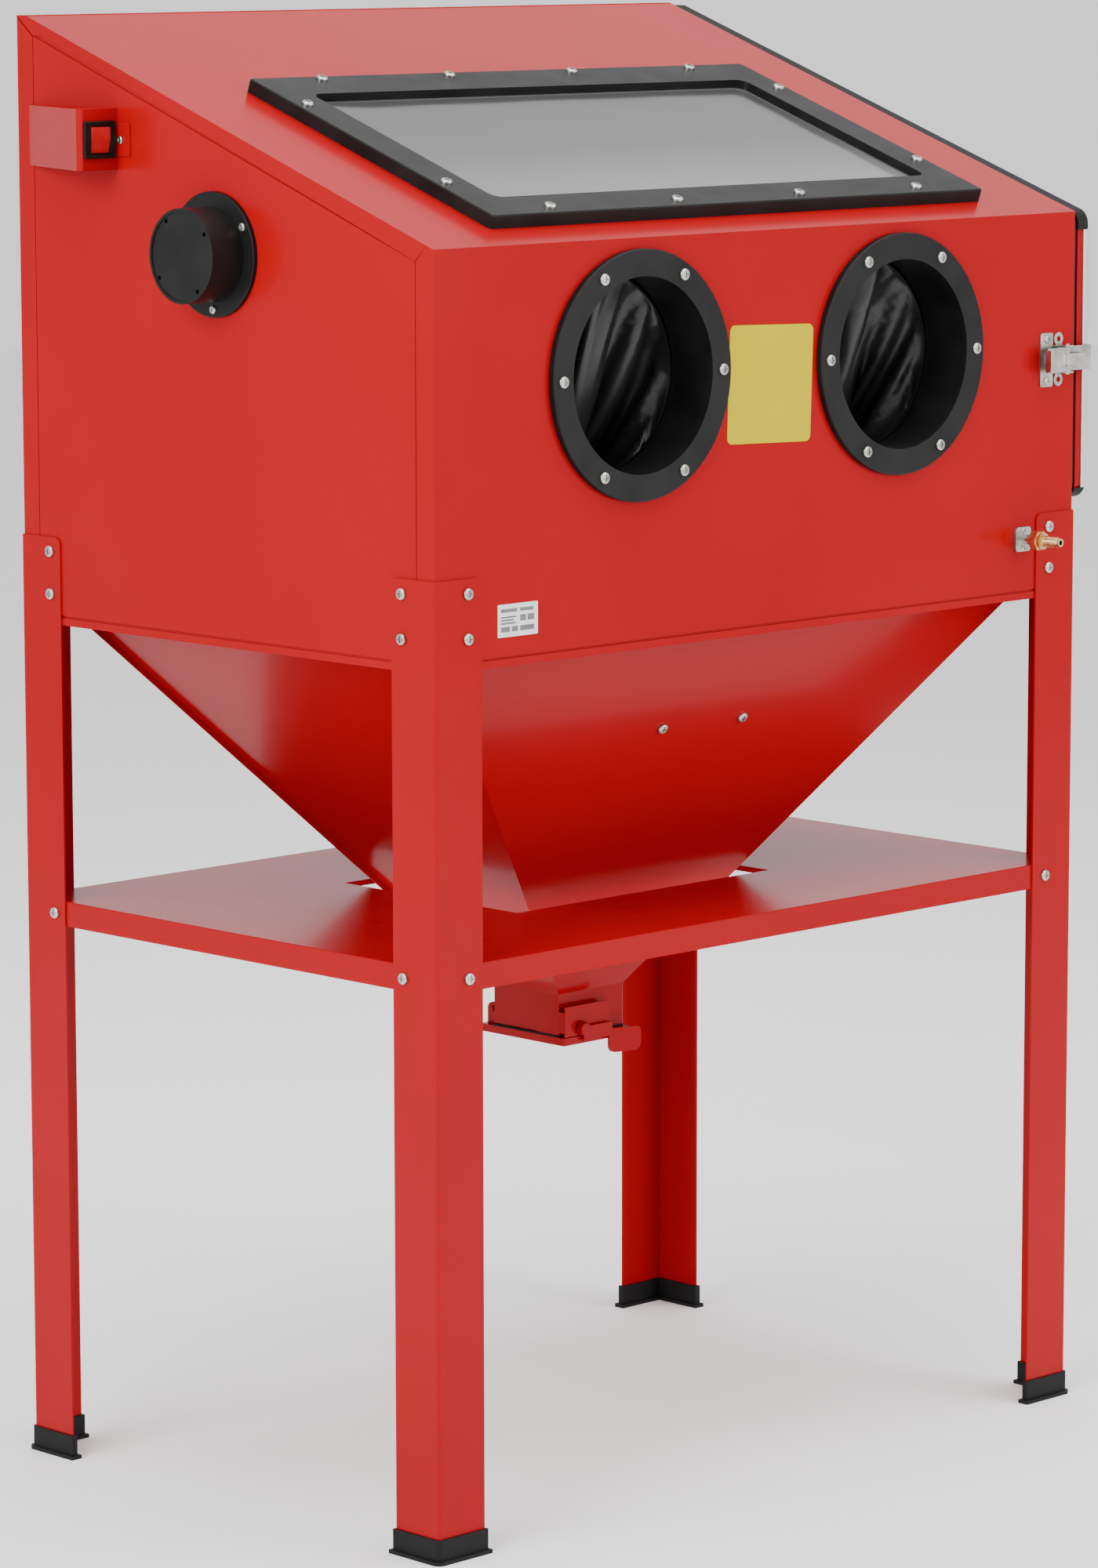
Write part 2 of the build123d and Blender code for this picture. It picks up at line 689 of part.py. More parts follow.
lever_y = latch_y - 4.2                 # underside of the lever's plate
lever_t = 1.5
lever_right = latch_x - 2
lip_t = 3.0
lip_out = 9.0
claw_x = latch_x - claw_back
claw_y = latch_y - 1.0
claw_half = 6.0
slot_half = claw_half + 0.6
with BuildPart() as latch_lever:
    with BuildSketch(facing_front(y_mid + lever_y)) as lever_plate:
        with BuildLine():
            Polyline(
                (latch_x - lever_reach, latch_z - lever_half),
                (claw_x - 6, latch_z - lever_half),
                (lever_right, latch_z - lever_half * 0.8),
                (lever_right, latch_z + lever_half * 0.8),
                (claw_x - 6, latch_z + lever_half),
                (latch_x - lever_reach, latch_z + lever_half),
                close=True,
            )
        make_face()
        with Locations(((claw_x - 5.5 + lever_right) / 2 + 1, latch_z)):
            Rectangle(lever_right - claw_x + 7.5, 2 * slot_half, mode=Mode.SUBTRACT)
    extrude(amount=lever_t)
    for low in (latch_z - lever_half, latch_z + lever_half - lever_t):
        with BuildSketch(level(low)):
            with BuildLine():
                Polyline(
                    (claw_x - 6, lever_y - lever_t / 2),
                    (lever_right, lever_y - lever_t / 2),
                    (latch_x + 3.6, latch_y - 2),
                    (latch_x + 3.6, latch_y + 2.4),
                    (latch_x - 3, latch_y + 3.6),
                    (claw_x - 6, latch_y + 2.5),
                    close=True,
                )
            make_face()
            with Locations((latch_x, latch_y)):
                Circle(latch_pin_r + pin_clear, mode=Mode.SUBTRACT)
        extrude(amount=lever_t)
    with BuildSketch(level(latch_z - lever_half + 1.5)):
        with Locations((latch_x - lever_reach - lip_t / 2, lever_y - lip_out / 2)):
            RectangleRounded(lip_t, lip_out, 1.2)
        with Locations((latch_x - lever_reach - lip_t / 4, lever_y - lever_t / 2)):
            Rectangle(lip_t, lever_t)
    extrude(amount=2 * lever_half - 3)
    with BuildSketch(level(latch_z - lever_half)):
        with Locations((claw_x, claw_y)):
            Circle(claw_pin_r)
    extrude(amount=2 * lever_half)
latch_lever.part.label = "latch_lever"
export_step(latch_lever.part, "parts/latch_lever.step")

claw_eye_r = 3.2
claw_top = latch_y - latch_pin_r - 0.3  # claw passes outside the lever's pin
claw_end = latch_x + claw_reach
nose_y = -half_d - keeper_out - latch_plate_t - 1.5
with BuildPart() as latch_claw:
    with BuildSketch(level(latch_z - claw_half)):
        with Locations((claw_x, claw_y)):
            Circle(claw_eye_r)
        with BuildLine():
            Polyline(
                (claw_x, claw_top),
                (claw_end - 6, claw_top),
                (claw_end - 2, nose_y),
                (claw_end, nose_y),
                (claw_end, claw_top - 1.6),
                (claw_end - 3, claw_top - 3.2),
                (claw_x + 6, claw_top - 1.7),
                (claw_x, claw_y - claw_eye_r),
                close=True,
            )
        make_face()
        with Locations((claw_x, claw_y)):
            Circle(claw_pin_r + pin_clear, mode=Mode.SUBTRACT)
    extrude(amount=2 * claw_half)
    with BuildSketch(level(latch_z - 2.0)):
        with BuildLine():
            Polyline(
                (claw_x + 8, claw_top - 1.5),
                (claw_x + 11, claw_top - 5),
                (claw_end - 3, claw_top - 5),
                (claw_end - 0.5, claw_top - 1.5),
                close=True,
            )
        make_face()
    extrude(amount=4.0)
latch_claw.part.label = "latch_claw"
export_step(latch_claw.part, "parts/latch_claw.step")

latch_screws_made = pan_screws(
    facing_front(y_f - latch_plate_t), latch_screw_spots, latch_plate_t + sheet + 3,
    r=small_head_r, h=small_head_h, core=small_shank_r,
)
# ---- Hopper -------------------------------------------------------------------------------------
rim_w = half_w - sheet
rim_d = half_d - sheet
ledge_in = 6.0              # ledge reaches this far inside the hopper's mouth
with BuildPart() as hopper_rim:
    with BuildSketch(level(rim_low)):
        Rectangle(2 * half_w, 2 * half_d)
    extrude(amount=shell_bottom - rim_band_gap - rim_low)
    with BuildSketch(level(rim_low)):
        Rectangle(2 * rim_w, 2 * rim_d)
    extrude(amount=rim_high - rim_low)
    with BuildSketch(level(rim_low + sheet)):
        Rectangle(2 * (rim_w - sheet), 2 * (rim_d - sheet))
    extrude(amount=rim_high - rim_low, mode=Mode.SUBTRACT)
    with BuildSketch(level(rim_low)):
        Rectangle(hopper_top_w - 2 * ledge_in, hopper_top_d - 2 * ledge_in)
    extrude(amount=sheet * 2, mode=Mode.SUBTRACT)
    chamfer(hopper_rim.edges().filter_by(Axis.Z).group_by(Axis.Y)[0], sheet / 2)
hopper_rim.part.label = "hopper_rim"
export_step(hopper_rim.part, "parts/hopper_rim.step")

hopper_rise = rim_low - outlet_top


def hopper_plane(ux, uy, top, low):
    """Outer plane of one hopper wall; origin at its lower edge, local y up the slant."""
    run = top - low
    slant = hypot(run, hopper_rise)
    return Plane(
        origin=(x_mid + ux * low, y_mid + uy * low, outlet_top),
        x_dir=(-uy, ux, 0),
        z_dir=(ux * hopper_rise / slant, uy * hopper_rise / slant, -run / slant),
    )


def hopper_plate(ux, uy, top, low, side_top, side_low, wider=0.0):
    """Flat trapezoid wall of the hopper, cut level at the rim and at the outlet."""
    slant = hypot(top - low, hopper_rise)
    lean = (side_top - side_low) / slant
    over = 2 * sheet
    with BuildPart() as plate:
        with BuildSketch(hopper_plane(ux, uy, top, low)):
            with BuildLine():
                Polyline(
                    (-side_low - wider + lean * over, -over),
                    (side_low + wider - lean * over, -over),
                    (side_top + wider + lean * over, slant + over),
                    (-side_top - wider - lean * over, slant + over),
                    close=True,
                )
            make_face()
        extrude(amount=-sheet)
        split(bisect_by=Plane.XY.offset(rim_low), keep=Keep.BOTTOM)
        split(bisect_by=Plane.XY.offset(outlet_top), keep=Keep.TOP)
    return plate.part


top_w2, top_d2, out_w2, out_d2 = hopper_top_w / 2, hopper_top_d / 2, outlet_w / 2, outlet_d / 2
hopper_front_plane = hopper_plane(0, -1, top_d2, out_d2)
hopper_spots = [(-hopper_screw_x, hopper_screw_up), (hopper_screw_x, hopper_screw_up)]
front_plate = hopper_plate(0, -1, top_d2, out_d2, top_w2, out_w2)
back_plate = hopper_plate(0, 1, top_d2, out_d2, top_w2, out_w2, hopper_seam)
left_plate = hopper_plate(-1, 0, top_w2, out_w2, top_d2, out_d2)
right_plate = hopper_plate(1, 0, top_w2, out_w2, top_d2, out_d2)
punch_hopper = punch(hopper_front_plane, hopper_spots, hole_r)
hopper_screws_made = pan_screws(hopper_front_plane, hopper_spots, sheet + 8)

with BuildPart() as hopper_front:
    add(front_plate)
    add(punch_hopper, mode=Mode.SUBTRACT)
hopper_front.part.label = "hopper_front"
export_step(hopper_front.part, "parts/hopper_front.step")

with BuildPart() as hopper_back:
    add(back_plate)
hopper_back.part.label = "hopper_back"
export_step(hopper_back.part, "parts/hopper_back.step")

with BuildPart() as hopper_sides:
    add(left_plate)
    add(right_plate)
    add(front_plate, mode=Mode.SUBTRACT)
    add(back_plate, mode=Mode.SUBTRACT)
hopper_sides.part.label = "hopper_sides"
export_step(hopper_sides.part, "parts/hopper_sides.step")

# ---- Outlet, clamp and dump door ----------------------------------------------------------------
outlet_h = outlet_top - outlet_low
inner_d = outlet_d - outlet_channel / 2
with BuildPart() as outlet_box:
    with BuildSketch(level(outlet_low)):
        with Locations((0, -out_d2 + outlet_channel / 2)):
            Rectangle(outlet_w, outlet_channel)
        with Locations((0, -out_d2 + sheet + outlet_channel / 2)):
            Rectangle(outlet_w - 2 * sheet, outlet_channel, mode=Mode.SUBTRACT)
    extrude(amount=outlet_h)
    fillet(outlet_box.edges().filter_by(Axis.Z).group_by(Axis.Y)[0], sheet * 0.8)
    with BuildSketch(level(outlet_low)):
        with Locations((0, out_d2 - inner_d / 2)):
            Rectangle(outlet_w - 2 * sheet, inner_d)
        with Locations((0, out_d2 - sheet - inner_d / 2)):
            Rectangle(outlet_w - 4 * sheet, inner_d, mode=Mode.SUBTRACT)
    extrude(amount=outlet_h)
outlet_box.part.label = "outlet_box"
export_step(outlet_box.part, "parts/outlet_box.step")

clamp_low = outlet_low - fit_gap - 0.7
clamp_top = clamp_low + clamp_h + 4
clamp_y = -out_d2 - clamp_stand
lever_pivot_x = -25.0
lever_pivot_z = 440.0
clamp_pin_r = 3.0
with BuildPart() as outlet_clamp:
    with BuildSketch(facing_front(y_mid + clamp_y + sheet)) as clamp_face:
        with Locations((-out_w2 + clamp_w / 2, (clamp_low + clamp_top) / 2)):
            Rectangle(clamp_w, clamp_top - clamp_low)
        fillet(clamp_face.vertices().group_by(Axis.Y)[-1].sort_by(Axis.X)[-1], 6)
        with Locations((lever_pivot_x, lever_pivot_z)):
            Circle(clamp_pin_r, mode=Mode.SUBTRACT)
    extrude(amount=sheet)
    with BuildSketch(level(clamp_low + 4)):
        with Locations((-out_w2 + sheet / 2, clamp_y + clamp_stand / 2)):
            Rectangle(sheet, clamp_stand)
        with Locations((-out_w2 + clamp_w * 0.7, clamp_y + clamp_stand / 2)):
            Rectangle(sheet, clamp_stand)
    extrude(amount=clamp_h - 6)
outlet_clamp.part.label = "outlet_clamp"
export_step(outlet_clamp.part, "parts/outlet_clamp.step")

lever_gap = 2.0
dump_lever_t = 3.0
clamp_pin_head_r = 6.5
with BuildPart() as clamp_pin:
    with BuildSketch(facing_front(y_mid + clamp_y + sheet)):
        with Locations((lever_pivot_x, lever_pivot_z)):
            Circle(clamp_pin_r)
    extrude(amount=sheet + lever_gap + dump_lever_t + fit_gap)
    with BuildSketch(facing_front(y_mid + clamp_y)):
        with Locations((lever_pivot_x, lever_pivot_z)):
            Circle(clamp_pin_r + 2)
    extrude(amount=lever_gap - fit_gap)
    with BuildSketch(facing_front(y_mid + clamp_y - lever_gap - dump_lever_t - fit_gap)):
        with Locations((lever_pivot_x, lever_pivot_z)):
            Circle(clamp_pin_head_r)
    extrude(amount=3)
    fillet(clamp_pin.faces().sort_by(Axis.Y)[0].edges(), 1.6)
clamp_pin.part.label = "clamp_pin"
export_step(clamp_pin.part, "parts/clamp_pin.step")

lever_face_y = y_mid + clamp_y - lever_gap
grip_start = 38.0           # along the lever from its pivot
grip_end = 75.0
grip_out = 10.0
grip_h = 26.0
grip_low = 32.0             # lower edge of the grip below the pivot
with BuildPart() as dump_lever:
    with BuildSketch(facing_front(lever_face_y)):
        with Locations((lever_pivot_x, lever_pivot_z)):
            Circle(7.5)
        with Locations((lever_pivot_x + (grip_start + 4) / 2, lever_pivot_z - 6)):
            Rectangle(grip_start + 4, 15)
        with Locations((lever_pivot_x, lever_pivot_z)):
            Circle(clamp_pin_r + pin_clear, mode=Mode.SUBTRACT)
    extrude(amount=dump_lever_t)
    with BuildSketch(level(lever_pivot_z - grip_low)):
        with BuildLine():
            Polyline(
                (lever_pivot_x + grip_start, clamp_y - lever_gap),
                (lever_pivot_x + grip_start + 4, clamp_y - lever_gap),
                (lever_pivot_x + grip_end, clamp_y - lever_gap - grip_out),
                (lever_pivot_x + grip_end, clamp_y - lever_gap - grip_out - dump_lever_t),
                (lever_pivot_x + grip_start + 4, clamp_y - lever_gap - dump_lever_t),
                (lever_pivot_x + grip_start, clamp_y - lever_gap - dump_lever_t),
                close=True,
            )
        make_face()
    extrude(amount=grip_h)
    fillet(dump_lever.edges().filter_by(Axis.Y).group_by(Axis.Z)[0], grip_h * 0.3)
    fillet(dump_lever.edges().filter_by(Axis.Y).group_by(Axis.X)[-1], grip_h * 0.2)
dump_lever.part.label = "dump_lever"
export_step(dump_lever.part, "parts/dump_lever.step")

dump_axis_y = out_d2 + dump_axis_back
dump_axis_z = outlet_low + dump_axis_up
dump_top = outlet_low - fit_gap - dump_gasket_t
dump_half_w = out_w2 + 2
dump_knuckle = 14.0
across = Plane(origin=(x_mid, y_mid, 0), x_dir=(0, 1, 0), z_dir=(1, 0, 0))
with BuildPart() as dump_hinge:
    with BuildSketch(across):
        with Locations((dump_axis_y, dump_axis_z)):
            Circle(dump_barrel_r)
        with Locations((out_d2 + dump_axis_back / 2, dump_axis_z + 7)):
            Rectangle(dump_axis_back, 10)
    extrude(amount=dump_knuckle - fit_gap, both=True)
    with BuildSketch(across):
        with Locations((dump_axis_y, dump_axis_z)):
            Circle(dump_pin_r)
    extrude(amount=out_w2 - 4, both=True)
    with BuildSketch(facing_back(y_mid + out_d2)):
        with Locations((0, dump_axis_z + 14)):
            Rectangle(outlet_w * 0.7, 20)
    extrude(amount=0.9)
dump_hinge.part.label = "dump_hinge"
export_step(dump_hinge.part, "parts/dump_hinge.step")

with BuildPart() as dump_door:
    with BuildSketch(level(dump_top - dump_t)):
        with Locations((0, (clamp_y + dump_axis_y + dump_barrel_r + 3) / 2)):
            RectangleRounded(2 * dump_half_w, dump_axis_y + dump_barrel_r + 3 - clamp_y, 3)
    extrude(amount=dump_t)
    for side in (-1, 1):
        mid_x = side * (dump_knuckle + out_w2 - 6) / 2
        with BuildSketch(across.offset(mid_x)):
            with Locations((dump_axis_y, dump_axis_z)):
                Circle(dump_barrel_r)
            with Locations((dump_axis_y, (dump_axis_z + dump_top) / 2)):
                Rectangle(2 * dump_barrel_r, dump_axis_z - dump_top)
            with Locations((dump_axis_y, dump_axis_z)):
                Circle(dump_pin_r + pin_clear, mode=Mode.SUBTRACT)
        extrude(amount=(out_w2 - 6 - dump_knuckle) / 2, both=True)
dump_door.part.label = "dump_door"
export_step(dump_door.part, "parts/dump_door.step")

with BuildPart() as dump_gasket:
    with BuildSketch(level(dump_top)):
        RectangleRounded(outlet_w + 3, outlet_d, 2)
    extrude(amount=dump_gasket_t)
dump_gasket.part.label = "dump_gasket"
export_step(dump_gasket.part, "parts/dump_gasket.step")

# ---- Legs, feet, shelf --------------------------------------------------------------------------


def angle_outline(sx, sy, grow):
    """Corner points of one leg's L section, grown by a margin all round."""
    x_out, y_out = frame_w / 2 + grow, frame_d / 2 + grow
    x_end, y_end = frame_w / 2 - leg_flange_x - grow, frame_d / 2 - leg_flange_y - grow
    x_in, y_in = frame_w / 2 - leg_t - grow, frame_d / 2 - leg_t - grow
    return [
        (sx * px, sy * py)
        for px, py in (
            (x_out, y_out), (x_end, y_out), (x_end, y_in), (x_in, y_in), (x_in, y_end), (x_out, y_end)
        )
    ]


shelf_screw_z = shelf_top - shelf_flange / 2
shelf_front_spots = [(side * (frame_w / 2 - leg_screw_in), shelf_screw_z) for side in (-1, 1)]
shelf_side_spots = [(side * (frame_d / 2 - leg_screw_in_y), shelf_screw_z) for side in (-1, 1)]
punch_shelf_x = punch(facing_right(x_mid), shelf_side_spots, hole_r, half_w + 2 * leg_t)
punch_shelf_y = punch(facing_front(y_mid), shelf_front_spots, hole_r, half_d + 2 * leg_t)


def angle_leg(sx, sy):
    """One folded angle leg with rounded upper corners and its screw holes."""
    with BuildPart() as leg:
        with BuildSketch(level(foot_floor)) as section:
            with BuildLine():
                Polyline(*angle_outline(sx, sy, 0), close=True)
            make_face()
            corner = (sx * frame_w, sy * frame_d, 0)
            fillet(section.vertices().sort_by_distance(corner)[0], leg_bend_r)
        extrude(amount=leg_top - foot_floor)
        fillet(leg.edges().filter_by(Axis.Y).group_by(Axis.Z)[-1].sort_by(SortBy.LENGTH)[0], leg_corner_r)
        fillet(leg.edges().filter_by(Axis.X).group_by(Axis.Z)[-1].sort_by(SortBy.LENGTH)[0], leg_corner_r)
        for holes in (punch_legs_x, punch_legs_y, punch_shelf_x, punch_shelf_y):
            add(holes, mode=Mode.SUBTRACT)
    return leg


leg_fl = angle_leg(-1, -1)
leg_fl.part.label = "leg_fl"
export_step(leg_fl.part, "parts/leg_fl.step")
leg_fr = angle_leg(1, -1)
leg_fr.part.label = "leg_fr"
export_step(leg_fr.part, "parts/leg_fr.step")
leg_bl = angle_leg(-1, 1)
leg_bl.part.label = "leg_bl"
export_step(leg_bl.part, "parts/leg_bl.step")
leg_br = angle_leg(1, 1)
leg_br.part.label = "leg_br"
export_step(leg_br.part, "parts/leg_br.step")

with BuildPart() as feet:
    for sx in (-1, 1):
        for sy in (-1, 1):
            with BuildSketch(level(0)) as foot_section:
                with BuildLine():
                    Polyline(*angle_outline(sx, sy, foot_wall), close=True)
                make_face()
                foot_corner = (sx * frame_w, sy * frame_d, 0)
                fillet(foot_section.vertices().sort_by_distance(foot_corner)[0], leg_bend_r + foot_wall)
            extrude(amount=foot_h)
            with BuildSketch(level(0)) as lip_section:
                with BuildLine():
                    Polyline(*angle_outline(sx, sy, foot_wall + foot_lip), close=True)
                make_face()
                fillet(lip_section.vertices().sort_by_distance(foot_corner)[0], leg_bend_r + foot_wall + foot_lip)
            extrude(amount=foot_lip_h)
            with BuildSketch(level(foot_floor)) as slot_section:
                with BuildLine():
                    Polyline(*angle_outline(sx, sy, 0), close=True)
                make_face()
                fillet(slot_section.vertices().sort_by_distance(foot_corner)[0], leg_bend_r)
            extrude(amount=foot_h, mode=Mode.SUBTRACT)
feet.part.label = "feet"
export_step(feet.part, "parts/feet.step")

shelf_edge_gap = 0.05       # edge strips lie this far under the top sheet
strip_top = shelf_top - shelf_t - shelf_edge_gap
with BuildPart() as shelf:
    with BuildSketch(level(shelf_top)):
        Rectangle(2 * half_w, 2 * half_d)
    extrude(amount=-shelf_t)
    fillet(shelf.edges().filter_by(Axis.Z), 1.5)
    fillet(shelf.faces().sort_by(Axis.Z)[-1].edges(), shelf_t * 0.8)
    with BuildSketch(level(shelf_top)):
        RectangleRounded(shelf_hole_w, shelf_hole_d, 3)
    extrude(amount=-shelf_t, mode=Mode.SUBTRACT)
    with BuildSketch(level(strip_top)):
        with Locations((0, half_d - shelf_t / 2), (0, shelf_t / 2 - half_d)):
            Rectangle(2 * (half_w - shelf_t), shelf_t)
        with Locations((half_w - shelf_t / 2, 0), (shelf_t / 2 - half_w, 0)):
            Rectangle(shelf_t, 2 * (half_d - shelf_t - fit_gap))
    extrude(amount=-shelf_flange + shelf_t + shelf_edge_gap)
    with BuildSketch(level(strip_top)):
        with Locations((0, (shelf_hole_d + shelf_t) / 2), (0, -(shelf_hole_d + shelf_t) / 2)):
            Rectangle(shelf_hole_w - 2 * fit_gap, shelf_t)
        with Locations(((shelf_hole_w + shelf_t) / 2, 0), (-(shelf_hole_w + shelf_t) / 2, 0)):
            Rectangle(shelf_t, shelf_hole_d - 2 * fit_gap)
    extrude(amount=-shelf_hole_lip + shelf_t + shelf_edge_gap)
    add(punch_shelf_x, mode=Mode.SUBTRACT)
    add(punch_shelf_y, mode=Mode.SUBTRACT)
shelf.part.label = "shelf"
export_step(shelf.part, "parts/shelf.step")

side_faces = (
    (facing_front(y_mid - frame_d / 2), front_leg_spots, shelf_front_spots),
    (facing_back(y_mid + frame_d / 2), front_leg_spots, shelf_front_spots),
    (facing_left(x_mid - frame_w / 2), side_leg_spots, shelf_side_spots),
    (facing_right(x_mid + frame_w / 2), side_leg_spots, shelf_side_spots),
)
leg_screw_sets = [pan_screws(face, upper, leg_t + sheet + 4).part for face, upper, _ in side_faces]
shelf_screw_sets = [pan_screws(face, lower, leg_t + shelf_t + 5).part for face, _, lower in side_faces]
# ---- Window in the slope ------------------------------------------------------------------------
glass_w = view_w + 2 * glass_lap
glass_h = view_h + 2 * glass_lap
view_mid = view_low + view_h / 2
window_screws_made = pan_screws(on_slope(window_t), window_spots, window_t + sheet + 3)
with BuildPart() as window_frame:
    with BuildSketch(on_slope()):
        with Locations((0, window_mid)):
            RectangleRounded(window_w, window_h, 3)
    extrude(amount=window_t)
    with BuildSketch(on_slope()):
        with Locations((0, view_mid)):
            RectangleRounded(view_w, view_h, view_r)
    extrude(amount=window_t, mode=Mode.SUBTRACT)
    with BuildSketch(on_slope()):
        with Locations((0, view_mid)):
            RectangleRounded(glass_w + fit_gap, glass_h + fit_gap, 3)
    extrude(amount=seal_t + glass_t, mode=Mode.SUBTRACT)
    add(punch_window_screws, mode=Mode.SUBTRACT)
    outer_face = window_frame.faces().sort_by(Axis(on_slope().origin, on_slope().z_dir))[-1]
    chamfer(outer_face.outer_wire().edges(), 1.2)
window_frame.part.label = "window_frame"
export_step(window_frame.part, "parts/window_frame.step")

with BuildPart() as window_gasket:
    with BuildSketch(on_slope()):
        with Locations((0, view_mid)):
            RectangleRounded(glass_w, glass_h, 3)
            RectangleRounded(view_w + 2, view_h + 2, view_r, mode=Mode.SUBTRACT)
    extrude(amount=seal_t)
window_gasket.part.label = "window_gasket"
export_step(window_gasket.part, "parts/window_gasket.step")

with BuildPart() as window_glass:
    with BuildSketch(on_slope(seal_t)):
        with Locations((0, view_mid)):
            RectangleRounded(glass_w, glass_h, 3)
    extrude(amount=glass_t)
window_glass.part.label = "window_glass"
export_step(window_glass.part, "parts/window_glass.step")

# ---- Glove ports --------------------------------------------------------------------------------
cuff_low = 8.0              # behind the front sheet
cuff_len = glove_start - cuff_low


def glove_ring(px):
    """Bolted ring with its collar through the front sheet."""
    with BuildPart() as ring:
        with BuildSketch(facing_front(y_f)):
            with Locations((px, port_z)):
                Circle(ring_r)
        extrude(amount=ring_t)
        fillet(ring.faces().sort_by(Axis.Y)[0].edges(), 1.5)
        with BuildSketch(facing_front(y_f)):
            with Locations((px, port_z)):
                Circle(collar_r)
        extrude(amount=-collar_len)
        with BuildSketch(facing_front(y_f - ring_t)):
            with Locations((px, port_z)):
                Circle(ring_bore_r)
        extrude(amount=-ring_t - collar_len, mode=Mode.SUBTRACT)
        add(punch_ring_screws, mode=Mode.SUBTRACT)
        fillet(ring.faces().sort_by(Axis.Y)[0].inner_wires()[0].edges(), 2.0)
    return ring


ring_left = glove_ring(-port_x).part
ring_right = glove_ring(port_x).part
with BuildPart() as glove_rings:
    add(ring_left)
    add(ring_right)
glove_rings.part.label = "glove_rings"
export_step(glove_rings.part, "parts/glove_rings.step")

ring_screws_made = pan_screws(facing_front(y_f - ring_t), ring_spots, ring_t + sheet + 4)
with BuildPart() as glove_cuffs:
    with BuildSketch(facing_front(y_f + cuff_low)):
        with Locations(*port_spots):
            Circle(collar_r + cuff_t)
            Circle(collar_r, mode=Mode.SUBTRACT)
    extrude(amount=-cuff_len)
glove_cuffs.part.label = "glove_cuffs"
export_step(glove_cuffs.part, "parts/glove_cuffs.step")

with BuildPart() as cuff_bands:
    with BuildSketch(facing_front(y_f + cuff_low + 4)):
        with Locations(*port_spots):
            Circle(collar_r + cuff_t + band_t)
            Circle(collar_r + cuff_t, mode=Mode.SUBTRACT)
    extrude(amount=-band_w)
cuff_bands.part.label = "cuff_bands"
export_step(cuff_bands.part, "parts/cuff_bands.step")

# centre line of a hanging glove: depth behind the front sheet, drop below the port, radius
glove_line = ((glove_start, 0.0, collar_r + cuff_t), (150.0, 32.0, 76.0), (220.0, 120.0, 58.0),
              (270.0, 255.0, 40.0))


def glove_body(px):
    """Closed body of a glove sleeve hanging inside the chamber."""
    with BuildPart() as glove:
        for k, (deep, drop, r) in enumerate(glove_line):
            tilt = (0, 38, 62, 80)[k]
            with BuildSketch(Plane(
                origin=(x_mid + px, y_f + deep, port_z - drop),
                x_dir=(1, 0, 0),
                z_dir=(0, cos(radians(tilt)), -sin(radians(tilt))),
            )):
                Circle(r)
        loft()
    return glove


glove_l = glove_body(-port_x)
glove_l.part.label = "glove_l"
export_step(glove_l.part, "parts/glove_l.step")
glove_r = glove_body(port_x)
glove_r.part.label = "glove_r"
export_step(glove_r.part, "parts/glove_r.step")

# ---- Dust port ----------------------------------------------------------------------------------
dust_centre = [(-dust_y, dust_z)]
dust_left_spots = [(-sy, sz) for sy, sz in dust_spots]
with BuildPart() as dust_port:
    with BuildSketch(facing_left(x_l)):
        with Locations(*dust_centre):
            Circle(dust_flange_r)
    extrude(amount=dust_flange_t)
    fillet(dust_port.faces().sort_by(Axis.X)[0].edges(), 1.0)
    with BuildSketch(facing_left(x_l)):
        with Locations(*dust_centre):
            Circle(dust_spigot_r)
    extrude(amount=dust_len)
    with BuildSketch(facing_left(x_l)):
        with Locations(*dust_centre):
            Circle(dust_spigot_r - dust_wall)
    extrude(amount=dust_len, mode=Mode.SUBTRACT)
    add(punch_dust_screws, mode=Mode.SUBTRACT)
dust_port.part.label = "dust_port"
export_step(dust_port.part, "parts/dust_port.step")

dust_cap_spots = [
    (-dust_y - dust_cap_pitch_r * cos(radians(a)), dust_z + dust_cap_pitch_r * sin(radians(a)))
    for a in (56, 146, 236, 326)
]
with BuildPart() as dust_cap:
    with BuildSketch(facing_left(x_l - dust_len + dust_cap_t + 1)):
        with Locations(*dust_centre):
            Circle(dust_spigot_r - dust_wall)
        with Locations(*dust_cap_spots):
            Circle(dust_cap_hole_r, mode=Mode.SUBTRACT)
    extrude(amount=dust_cap_t)
dust_cap.part.label = "dust_cap"
export_step(dust_cap.part, "parts/dust_cap.step")

dust_screws_made = pan_screws(
    facing_left(x_l - dust_flange_t), dust_left_spots, dust_flange_t + 2 * sheet + 3,
    r=small_head_r, h=small_head_h, core=small_shank_r,
)
